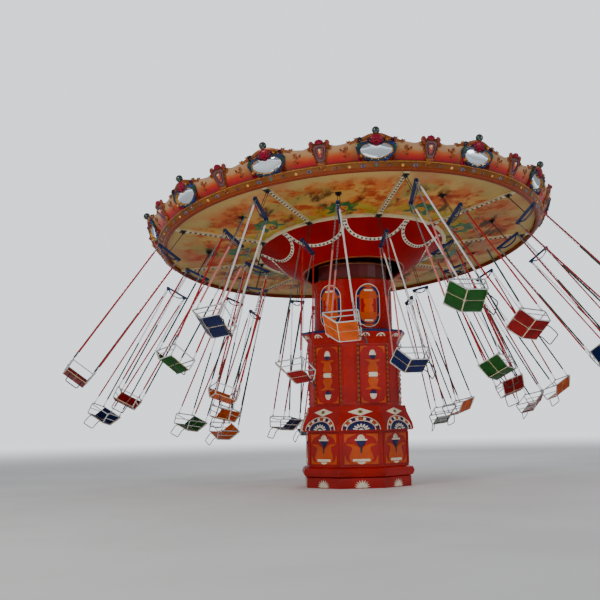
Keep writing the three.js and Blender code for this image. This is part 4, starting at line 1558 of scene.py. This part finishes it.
def heart(wide, high, swell=0):
    """Rounded heart: two lobes above, with a dent between them, and a blunt foot."""
    turns = np.radians(np.arange(52) * 360 / 52)
    rise = np.sin(turns)
    swelling = 1 + swell * np.sin(np.clip(rise, 0, 1) * np.pi) ** 2
    x = wide * np.cos(turns) * (1 - 0.20 * np.clip(-rise, 0, 1) ** 2) * swelling
    y = high * rise * swelling
    dent = np.exp(-(x / (0.32 * wide)) ** 2) * 0.52 * high
    return np.column_stack([x, np.where(y > 0, y - dent, y)])


class RIDE_OT_mirrors(bpy.types.Operator):
    """Make the framed mirrors, with a shell and a ball over each"""

    bl_idname = "ride.mirrors"
    bl_label = "Mirrors"

    def execute(self, context):
        sizes = context.scene.ride_sizes
        wide, high, top = sizes.mirror_width / 2, sizes.mirror_height / 2, sizes.mirror_crest
        middle = (0, 0.285)
        pane, outer = heart(wide, high) + middle, heart(wide + 0.070, high + 0.045, 0.14) + middle
        sheet = plaque(pane, [(1.01, 0.0), (1.01, 0.016), (0.96, 0.022), (0.5, 0.024)], middle)
        foot = (0, BOARD_T / 2 - board_radius(top), top - 0.05)
        tip = BOARD_T / 2 - BOARD_FOOT_R - (BALL_HEIGHT - RIM_TOP) * BOARD_LEAN
        frames, glass = Piece("mirror_frames"), Piece("mirror_panes")
        for azimuth in MIRROR_AZIMUTHS:
            laid = on_boards(azimuth)
            frames.add(hoop(outer, pane, 0.046), "teal", laid)
            frames.add(ribbon(pane, 0.007, 0.052, closed=True), "bright_gilt", laid)
            glass.add(sheet, "mirror", laid)
            frame_leaves(frames, laid, outer, pane)
            mirror_crown(frames, laid, sizes)
            upright = straight(CANOPY @ Matrix.Rotation(math.radians(azimuth), 4, "Z"))
            frames.add(tube([foot, (0, tip, BALL_HEIGHT - 0.04)], 0.024, 10), "gilt", upright)
            frames.add(ball((0, tip, BALL_HEIGHT), 0.084, 20, 12), "ball", upright)
            collar = ring((0, tip, BALL_HEIGHT - 0.060), 0.040, 0, 1)
            frames.add(tube(collar, 0.011, 6, True), "bright_gilt", upright)
        frames.stand("canopy", "trim_gold")
        glass.stand("canopy", "mirror_glass")
        return {"FINISHED"}


FRAME_FINISHES = ((20, "leaf"), (55, "blue"), (80, "purple"), (100, "shell"), (135, "purple"), (150, "blue"),
                  (170, "leaf"), (200, "teal"), (225, "shell"), (245, "purple"), (295, "teal"), (320, "blue"),
                  (345, "rim_foot"), (361, "purple"))


def frame_leaves(piece, laid, outer, pane):
    """Leaves of many colours that overlap round a mirror's frame, with two gilt flowers and pearls."""
    count = len(outer)
    for k in range(0, count, 2):
        way = outer[(k + 1) % count] - outer[k - 1]
        angle = math.degrees(math.atan2(way[1], way[0])) + (90 if outer[k][0] < 0 else -90)
        finish = next(name for end, name in FRAME_FINISHES if k * 360 / count < end)
        lean, foot = 24 if k % 4 else -16, outer[k] * 0.55 + pane[k] * 0.45
        piece.petals(laid, petal(0.085, 0.027), [angle + lean], foot, 0.064, finish)
    for k in range(32, 47, 4):
        piece.add(dome(oval(0.014, 0.014, 10, outer[k] * 0.2 + pane[k] * 0.8), 0.070), "pearl", laid)
    for x, y, angle, size, way, finish in (
            (0.34, 0.43, 20, 0.11, 1, "purple"), (-0.34, 0.44, 160, 0.13, -1, "teal"),
            (0.36, 0.19, -35, 0.13, -1, "rim_foot"), (-0.36, 0.19, 215, 0.13, 1, "shell"),
            (0.17, 0.130, -10, 0.10, -1, "blue"), (-0.17, 0.130, 190, 0.10, 1, "purple")):
        path, widths = scroll((x, y), angle, size, 1.0, way, 14)
        piece.add(ribbon(path, widths * 1.8, 0.056), finish, laid)
    for middle in ((0.22, 0.490), (-0.335, 0.205)):
        piece.petals(laid, petal(0.046, 0.018), SIX_WAYS, middle, 0.084, "bright_gilt")
        piece.add(dome(oval(0.016, 0.016, 10, middle), 0.094), "pearl", laid)


def mirror_crown(piece, laid, sizes):
    """Crimson shell under a gilt gable on a mirror's crest, between purple leaves."""
    foot = np.array((0, 0.405))
    mound = mirrored([(0, 0.400), (0.070, 0.430), (0.135, 0.475), (0.150, 0.525), (0.115, 0.570),
                      (0.05, 0.600), (0, 0.606)])
    piece.add(dome(mound, 0.052, centre=foot + (0, 0.10)), "shell", laid)
    for k in range(-3, 4):
        lobe = oval(0.026, 0.080 - 0.004 * abs(k), 14, (0, 0.090))
        piece.petals(laid, lobe, [22 * k], foot, 0.066, "shell")
    for hand, k in product((1, -1), range(3)):
        turns, finish = [-(88 + 14 * k) * hand], "rim_foot" if k == 1 else "purple"
        piece.petals(laid, petal(0.125, 0.034), turns, (0.07 * hand, 0.490), 0.048, finish)
    piece.petals(laid, petal(0.055, 0.020), (-42, 0, 42), foot - (0, 0.012), 0.086, "magenta")
    across = np.radians(np.linspace(-6.6, 6.6, 45))
    tops = [crest(MIRROR_AZIMUTH + math.degrees(a), sizes) - 0.024 for a in across]
    line = np.column_stack([across * BOARD_MIDDLE_R, tops])
    piece.add(ribbon(line, 0.030, 0.024), "gilt", laid)
    piece.add(ribbon(line[6:-6] - (0, 0.040), 0.014, 0.020), "rose", laid)


class RIDE_OT_lanterns(bpy.types.Operator):
    """Make the shields with a lantern between the mirrors"""

    bl_idname = "ride.lanterns"
    bl_label = "Lanterns"

    def execute(self, context):
        piece, middle = Piece("lantern_shields"), np.array((0, 0.325))
        shield = mirrored(smooth_path([
            (0, 0.125), (0.065, 0.135), (0.098, 0.18), (0.118, 0.27), (0.142, 0.37), (0.150, 0.44),
            (0.115, 0.485), (0, 0.495)], 24))
        for azimuth in MIRROR_AZIMUTHS:
            laid = on_boards(azimuth + MIRROR_STEP / 2)
            piece.add(raised(shield, 0.030, centre=middle), "mauve", laid)
            for scale, finish in ((0.95, "gilt"), (0.80, "lilac"), (0.56, "purple")):
                line = middle + (shield - middle) * scale
                piece.add(ribbon(line, 0.013, 0.046, closed=True), finish, laid)
            for wide, high, count, up, proud, finish in (
                    (0.054, 0.105, 24, 0, 0.060, "flame"), (0.042, 0.060, 18, 0.020, 0.074, "glow"),
                    (0.030, 0.034, 18, 0.046, 0.086, "pearl"), (0.092, 0.052, 20, 0.205, 0.062, "shell")):
                piece.add(dome(oval(wide, high, count, middle + (0, up)), proud), finish, laid)
            for hand in (1, -1):
                lantern_wing(piece, laid, hand)
            foot = box_outline((-0.088, 0.098), (0.088, 0.150), 0.014)
            piece.add(raised(foot, 0.046, centre=(0, 0.124)), "gilt", laid)
            for k, finish in enumerate(("shell", "magenta", "shell", "magenta", "shell")):
                piece.petals(laid, petal(0.078, 0.021), [-64 + 32 * k], (0, 0.518), 0.074, finish)
        piece.stand("canopy", "trim_gold")
        return {"FINISHED"}


def lantern_wing(piece, laid, hand):
    """Scrolls and leaves on one side of a lantern's shield."""
    for x, y, angle, size, way in ((0.07, 0.495, 35, 0.15, -1), (0.12, 0.445, -14, 0.15, 1),
                                   (0.05, 0.14, -25, 0.10, 1), (0.15, 0.40, -60, 0.12, 1)):
        turn = 90 + (angle - 90) * hand
        path, widths = scroll((x * hand, y), turn, size, 1.0, way * hand, 14)
        piece.add(ribbon(path, widths * 2.0, 0.040), "rose" if size > 0.12 else "gilt", laid)
    for k in range(4):
        foot = ((0.105 + 0.012 * k) * hand, 0.20 + 0.075 * k)
        turns = [-(24 + 24 * k) * hand]
        piece.petals(laid, petal(0.078, 0.022), turns, foot, 0.036, ("rose", "gilt")[k % 2])


class RIDE_OT_roof(bpy.types.Operator):
    """Make the welts of the roof and the finial on it"""

    bl_idname = "ride.roof"
    bl_label = "Roof"

    def execute(self, context):
        gores = context.scene.ride_sizes.roof_gores
        points = node_points("roof_cover", CANOPY)
        top, edge = points[:, 2].max(), radius_of(points).max()
        eave = points[radius_of(points) > edge - 1e-3][:, 2].max()
        seams, finial = Piece("roof_seams"), Piece("finial_knob")

        def height(radius):
            return top + (eave - top) * radius / edge + 0.004

        along = np.array((0.14, 2.3, edge - 0.02))
        for number in range(gores):
            turn = math.radians(FACET_STEP / 2 + number * 360 / gores)
            seams.add(tube(round_axis(along, turn, height(along)), 0.013, 6), "welt", ON_CANOPY)
        for radius in (edge - 0.03, 2.2, 0.16):
            line = circle(radius, height(radius), FACET_STEP, FACET_STEP / 2)
            seams.add(tube(line, 0.015, 6, True), "welt", ON_CANOPY)
        seams.stand("canopy", "roof_sheet")
        foot = node_points("roof_finial", CANOPY)[:, 2].min()
        knob = smooth_path([
            (0.042, 0.045), (0.06, 0.07), (0.088, 0.115), (0.082, 0.165), (0.048, 0.205), (0.026, 0.232),
            (0.018, 0.262), (0.006, 0.298)], 22)
        profile = [(0, 0), (0.088, 0), (0.088, 0.012), (0.060, 0.018), (0.044, 0.030), *knob, (0, 0.300)]
        finial.add(lathe(np.add(profile, (0, foot)), 48), "bright_gilt", ON_CANOPY)
        finial.stand("canopy", "finial_gold", ["roof_finial"])
        return {"FINISHED"}


# Chairs, in the frame of the chair

SEAT_COLOURS = {
    "outer": "green blue blue red orange orange blue red blue",
    "mid": "red blue orange green blue green red green orange",
    "inner": "blue green red orange green blue orange orange red",
}
PALE_SLEEVES = {("outer", 1), ("outer", 9), ("mid", 9), ("inner", 1)}


def plate_at(y):
    """Lays flat shapes in the plane of X and Z."""
    return lambda flat: np.column_stack([flat[:, 0], y + flat[:, 2], flat[:, 1]])


def seat_piece(seat):
    """Pan and back, each a bordered panel in two bays on both faces."""
    piece = Piece("seat")
    pan, back = ((-0.117, 0.016), (0.274, 0.016)), ((-0.120, 0.021), (-0.383, 0.292))
    for start, end in np.array((pan, back)) + (0, seat):
        long = float(np.hypot(*(end - start)))
        along = (end - start) / long
        out = np.array((-along[1], along[0]))

        def laid(flat, start=start, along=along, out=out):
            at = start + np.outer(flat[:, 1], along) + np.outer(flat[:, 2], out)
            return np.column_stack([at[:, 0], flat[:, 0], at[:, 1]])

        core = box_outline((-0.256, 0), (0.256, long), 0.02)
        piece.add(plaque(core, [(1, -0.009), (1, 0.009)]), "border", laid)
        rim = box_outline((-0.259, 0.0), (0.259, long), 0.03, 4)
        piece.add(tube(laid(np.column_stack([rim, np.zeros(len(rim))])), 0.0095, 8, True), "border")
        spine = [(0, 0.012), (0, long / 2), (0, long - 0.012)]
        for face in (1, -1):
            def facing(flat, face=face, laid=laid):
                return laid(flat * (1, 1, face))

            piece.add(ribbon(spine, 0.0075, 0.0155, 0), "border", facing)
            for middle in (-0.130, 0.130):
                bay = box_outline((middle - 0.122, 0.005), (middle + 0.122, long - 0.005), 0.016)
                rings = [(1, 0), (1, 0.0115), (0.965, 0.0140), (0.5, 0.0148)]
                piece.add(plaque(bay, rings, (middle, long / 2)), "seat_blue", facing)
                for height, across in product((0.030, long - 0.030), (middle - 0.10, middle + 0.10)):
                    spot = oval(0.007, 0.007, 6, (across, height))
                    piece.add(raised(spot, 0.0185, 0, steps=1), "steel", facing)
    return piece


def rounded(points, radius, count):
    """Path in space whose corners are rounded."""
    points = np.asarray(points, float)
    path = [points[0]]
    for before, corner, after in zip(points, points[1:], points[2:]):
        first, last = (corner + (end - corner) / np.linalg.norm(end - corner) * radius
                       for end in (before, after))
        for t in np.linspace(0, 1, count):
            path.append((1 - t) ** 2 * first + 2 * t * (1 - t) * corner + t * t * last)
    return np.array([*path, points[-1]])


def frame_piece(seat, sizes):
    """Tubes of the arm rails, the lap bar, the seat bearers and the foot bar."""
    piece, rail, low = Piece("tubes"), seat + RAIL_RISE, seat + 0.010
    thick, thin = sizes.tube_radius, sizes.tube_radius * 0.75
    rear, under_rail = RAIL_REAR + 0.012, rail - 0.145
    for y in (-FRAME_HALF, FRAME_HALF):
        inner = y - math.copysign(0.015, y)
        arm = (rear, y, rail), (RAIL_FRONT - 0.016, y, rail), (SEAT_FRONT - 0.010, inner, seat + 0.012)
        bearer = ((rear, y, rail), (RAIL_REAR + 0.014, y, rail - 0.03), (SEAT_REAR - 0.01, inner, low),
                  (SEAT_FRONT - 0.012, inner, low))
        brace = (RAIL_REAR + 0.125, y, under_rail), (RAIL_FRONT - 0.030, y, under_rail)
        piece.add(tube(rounded(arm, 0.07, 8), thick, 10), "tube")
        piece.add(tube(rounded(bearer, 0.03, 5), thin, 8), "tube")
        piece.add(tube(brace, thin, 8), "tube")
        for x in (CHAIN_FRONT, CHAIN_REAR):
            piece.add(tube(ring((x, y, rail + 0.026), 0.020, 0, 2), 0.0055, 6, True), "steel")
            piece.add(tube(ring((x, y, rail), 0.018, 1, 2, 36), 0.006, 6, True), "steel")
    reach = FRAME_HALF - 0.002
    for x, z, radius in (
            (RAIL_FRONT - 0.024, rail - 0.035, thick * 0.85), (0.22, seat + 0.014, 0.007),
            (-0.08, seat + 0.014, 0.007), (RAIL_REAR + 0.015, rail - 0.004, thick * 0.8)):
        piece.add(tube([(x, -reach, z), (x, 0, z), (x, reach, z)], radius, 8), "tube")
    half = [(SEAT_FRONT - 0.03, -FOOT_HALF, seat + 0.002), (SEAT_FRONT + 0.035, -FOOT_HALF, seat - 0.02),
            (FOOT_REACH - 0.012, -FOOT_HALF, seat - FOOT_DROP + 0.028)]
    foot = np.vstack([half, np.multiply(half[::-1], (1, -1, 1))])
    piece.add(tube(rounded(foot, 0.045, 6), 0.0115, 8), "foot")
    return piece


PIN_OUT = 0.02304
SLEEVE_END = 0.95


def hanger_piece():
    """Crossbar with its brace, brackets and the two rods that it hangs from."""
    piece, bar, upright = Piece("hanger"), -BAR_DROP, (1, 0, 0)
    piece.add(beam((-0.038, -BAR_HALF, bar - 0.025), (0.038, BAR_HALF, bar + 0.025), 0.010), "hanger")
    brace = smooth_path([(0, y, bar - drop) for y, drop in (
        (-0.240, 0.02), (-0.175, 0.075), (-0.08, 0.105), (0, 0.112), (0.08, 0.105), (0.175, 0.075),
        (0.240, 0.02))], 25)
    for side in (-1, 1):
        x = ROD_OUT * side
        piece.add(tube(brace + (x, 0, 0), 0.0095, 8, up=upright), "hanger")
        piece.add(tube([(x, 0, 0.006), (x, 0, bar / 2), (x, 0, bar + 0.01)], 0.0075, 10, up=upright), "foot")
        for low, high, thick in ((0.0206, 0.0362, 0.016), (0.0362, 0.0440, 0.013)):
            piece.add(tube([(side * low, 0, 0), (side * high, 0, 0)], thick, 10), "dark_steel")
    bracket = [(-0.044, bar + 0.027), (-0.044, bar - 0.020), (-0.030, bar - 0.062), (0.030, bar - 0.062),
               (0.044, bar - 0.020), (0.044, bar + 0.027)]
    plate = plaque(bracket, [(1, -0.004), (1, 0.004), (0.95, 0.0048)])
    for side in (-1, 1):
        y = FRAME_HALF * side
        for shift in (-0.016, 0.016):
            piece.add(plate, "hanger", plate_at(y + shift))
        for x in (-PIN_OUT, PIN_OUT):
            pin = [(x, y - 0.026, bar - 0.046), (x, y + 0.026, bar - 0.046)]
            piece.add(tube(pin, 0.0075, 8), "dark_steel")
        piece.add(ball((0, (BAR_HALF - 0.012) * side, bar), 0.020, 12, 8), "hanger")
    return piece


def chain_lines(seat):
    """Top, bottom, the sleeve's start and its finish, for each of the four chains."""
    for top, reach, start, finish in (
            (PIN_OUT, CHAIN_FRONT, 0.06, "sleeve_white"), (-PIN_OUT, CHAIN_REAR, 0.46, "sleeve_pink")):
        for y in (-FRAME_HALF, FRAME_HALF):
            bottom = np.array((reach, y, seat + RAIL_RISE + 0.042))
            yield np.array((top, y, -BAR_DROP - 0.050)), bottom, start, finish


def sleeve_piece(seat):
    """Sleeves over the middle of the chains."""
    piece, steps = Piece("sleeves"), np.arange(56)
    lumps = 0.0178 + 0.0020 * np.abs(np.sin(steps * 1.9)) + 0.001 * np.sin(steps * 0.53)
    for top, bottom, start, finish in chain_lines(seat):
        along = np.linspace(start, SLEEVE_END, len(steps))
        piece.add(tube(top + np.outer(along, bottom - top), lumps, 8), finish)
    return piece


def chain_mesh(seat, sizes, tree):
    """Links of the chains above and below their sleeves."""
    points = [tuple(top + part * (bottom - top)) for top, bottom, start, _ in chain_lines(seat)
              for part in (0.0, start + 0.004, SLEEVE_END - 0.004, 1.0)]
    carrier = bpy.data.meshes.new("chain_lines")
    carrier.from_pydata(points, [(k, k + 1) for k in range(0, len(points), 2)], [])
    values = {"Pitch": sizes.link_pitch, "Wire": sizes.link_wire, "Material": FINISHES["steel"]}
    return tree.applied("chain_links", carrier, values)


class RIDE_OT_chairs(bpy.types.Operator):
    """Make the twenty-seven flying chairs on their chains"""

    bl_idname = "ride.chairs"
    bl_label = "Chairs"

    def execute(self, context):
        sizes, tree = context.scene.ride_sizes, link_tree()
        for row in ROWS:
            seat = seat_height(row)
            shapes = {
                "seat": (seat_piece(seat).mesh(40), None),
                "tubes": (frame_piece(seat, sizes).mesh(40), "tube_steel"),
                "hanger": (hanger_piece().mesh(40), "trim_paint"),
                "sleeves": (sleeve_piece(seat).mesh(40), "chain_sleeve"),
                "chains": (finished_mesh(chain_mesh(seat, sizes, tree), 60), "chain_steel"),
            }
            for number, shade in enumerate(SEAT_COLOURS[row].split(), 1):
                swaps = {FINISHES["seat_blue"]: FINISHES["seat_" + shade]}
                if (row, number) not in PALE_SLEEVES:
                    swaps[FINISHES["sleeve_white"]] = FINISHES["sleeve_red"]
                    swaps[FINISHES["sleeve_pink"]] = FINISHES["sleeve_green"]
                for kind, (shape, slot) in shapes.items():
                    mesh = shape.copy()
                    mesh.transform(chair_frame(row, number))
                    for k, material in enumerate(shape.materials):
                        mesh.materials[k] = swaps.get(material, material)
                    chair = f"{row}_{number}"
                    slot = slot or "seat_" + shade
                    stood(f"{kind}_{chair}", mesh, f"swing_{chair}", slot, [f"chair_{chair}"])
        return {"FINISHED"}


class RIDE_OT_stage(bpy.types.Operator):
    """Make the floor, the sky light, the lamps and the camera"""

    bl_idname = "ride.stage"
    bl_label = "Stage"

    def execute(self, context):
        scene = context.scene
        disc, sky = Piece("floor"), Piece("backdrop")
        disc.add(lathe([(0, -0.002), (0, -0.05), (70, -0.05), (70, -0.002)], 96), "floor")
        FINISHES["floor"] = floor_paint()
        floor = linked("floor", disc.mesh())
        sky.add(ball((0, 0, -1), 72, 64, 32), "backdrop")
        FINISHES["backdrop"] = Finish("backdrop_white", {
            "Base Color": (0, 0, 0), "Emission Color": SKY, "Emission Strength": SKY_STRENGTH,
            "Specular IOR Level": 0.0}).material
        backdrop = linked("backdrop", sky.mesh())
        for ray in ("diffuse", "glossy", "transmission", "volume_scatter", "shadow"):
            setattr(backdrop, f"visible_{ray}", False)
        scene.world = bpy.data.worlds.new("pale_sky")
        scene.world.use_nodes = True
        background = scene.world.node_tree.nodes["Background"]
        background.inputs[0].default_value = (0.86, 0.91, 1.0, 1)
        background.inputs[1].default_value = 0.36
        for name, at, aim, size, power, hue in (
                ("key", (-16, -22, 15), (0, 0, 4), 9, 2400, (1.0, 0.97, 0.92)),
                ("side", (20, -12, 10), (0, 0, 4), 10, 900, (0.93, 0.96, 1.0)),
                ("under", (0, -8, 0.05), (0, -8, 6.0), 10, 230, (1.0, 0.98, 0.95)),
                ("back", (4, 20, 14), (0, 0, 5), 10, 900, (0.95, 0.97, 1.0))):
            light = bpy.data.lights.new(name, "AREA")
            light.shape, light.size, light.energy, light.color = "DISK", size, power, hue
            made = linked(name, light)
            made.location = at
            made.rotation_euler = (Vector(aim) - Vector(at)).to_track_quat("-Z", "Y").to_euler()
            made.visible_camera = False
        scene.camera = photo_camera()
        return {"FINISHED"}


# The viewer's eye, and the yaw, pitch and roll of the photograph in degrees
EYE = (0, -27.35, 1.66)
VIEW_ANGLES = (2.76, 6.10, 1.27)
FOCAL_PIXELS = 1100
FRAME_PIXELS = 600


def photo_camera():
    """Camera at a standing viewer's eye."""
    data = bpy.data.cameras.new("viewer")
    data.sensor_width = 36
    data.lens = data.sensor_width * FOCAL_PIXELS / FRAME_PIXELS
    data.shift_y = 1 / FRAME_PIXELS
    data.clip_end = 500
    yaw, pitch, roll = (math.radians(a) for a in VIEW_ANGLES)
    camera = linked("viewer", data)
    aimed = Matrix.Rotation(yaw, 4, "Z") @ Matrix.Rotation(math.pi / 2 + pitch, 4, "X")
    camera.matrix_world = Matrix.Translation(EYE) @ aimed @ Matrix.Rotation(-roll, 4, "Z")
    return camera


class RIDE_PT_panel(bpy.types.Panel):
    """Panel with the ride's operators and sizes"""

    bl_label = "Chair swing ride"
    bl_idname = "RIDE_PT_panel"
    bl_space_type = "VIEW_3D"
    bl_region_type = "UI"
    bl_category = "Ride"

    def draw(self, context):
        for operator in OPERATORS:
            self.layout.operator(operator.bl_idname)
        for group in (context.scene.ride_sizes, context.scene.ride_colours):
            box = self.layout.box()
            for name in group.bl_rna.properties.keys():
                if name not in ("rna_type", "name"):
                    box.prop(group, name)


OPERATORS = (
    RIDE_OT_finishes, RIDE_OT_lower_tower, RIDE_OT_mid_band, RIDE_OT_upper_tower, RIDE_OT_cornice,
    RIDE_OT_mast, RIDE_OT_bowl, RIDE_OT_ceiling, RIDE_OT_rim, RIDE_OT_boards, RIDE_OT_mirrors,
    RIDE_OT_lanterns, RIDE_OT_roof, RIDE_OT_chairs, RIDE_OT_stage,
)
CLASSES = (RideSizes, RideColours, *OPERATORS, RIDE_PT_panel)


def register():
    for made in CLASSES:
        bpy.utils.register_class(made)
    bpy.types.Scene.ride_sizes = PointerProperty(type=RideSizes)
    bpy.types.Scene.ride_colours = PointerProperty(type=RideColours)


def unregister():
    del bpy.types.Scene.ride_colours
    del bpy.types.Scene.ride_sizes
    for made in reversed(CLASSES):
        bpy.utils.unregister_class(made)


def main():
    register()
    for operator in OPERATORS:
        group, name = operator.bl_idname.split(".")
        getattr(getattr(bpy.ops, group), name)()


if __name__ == "__main__":
    main()
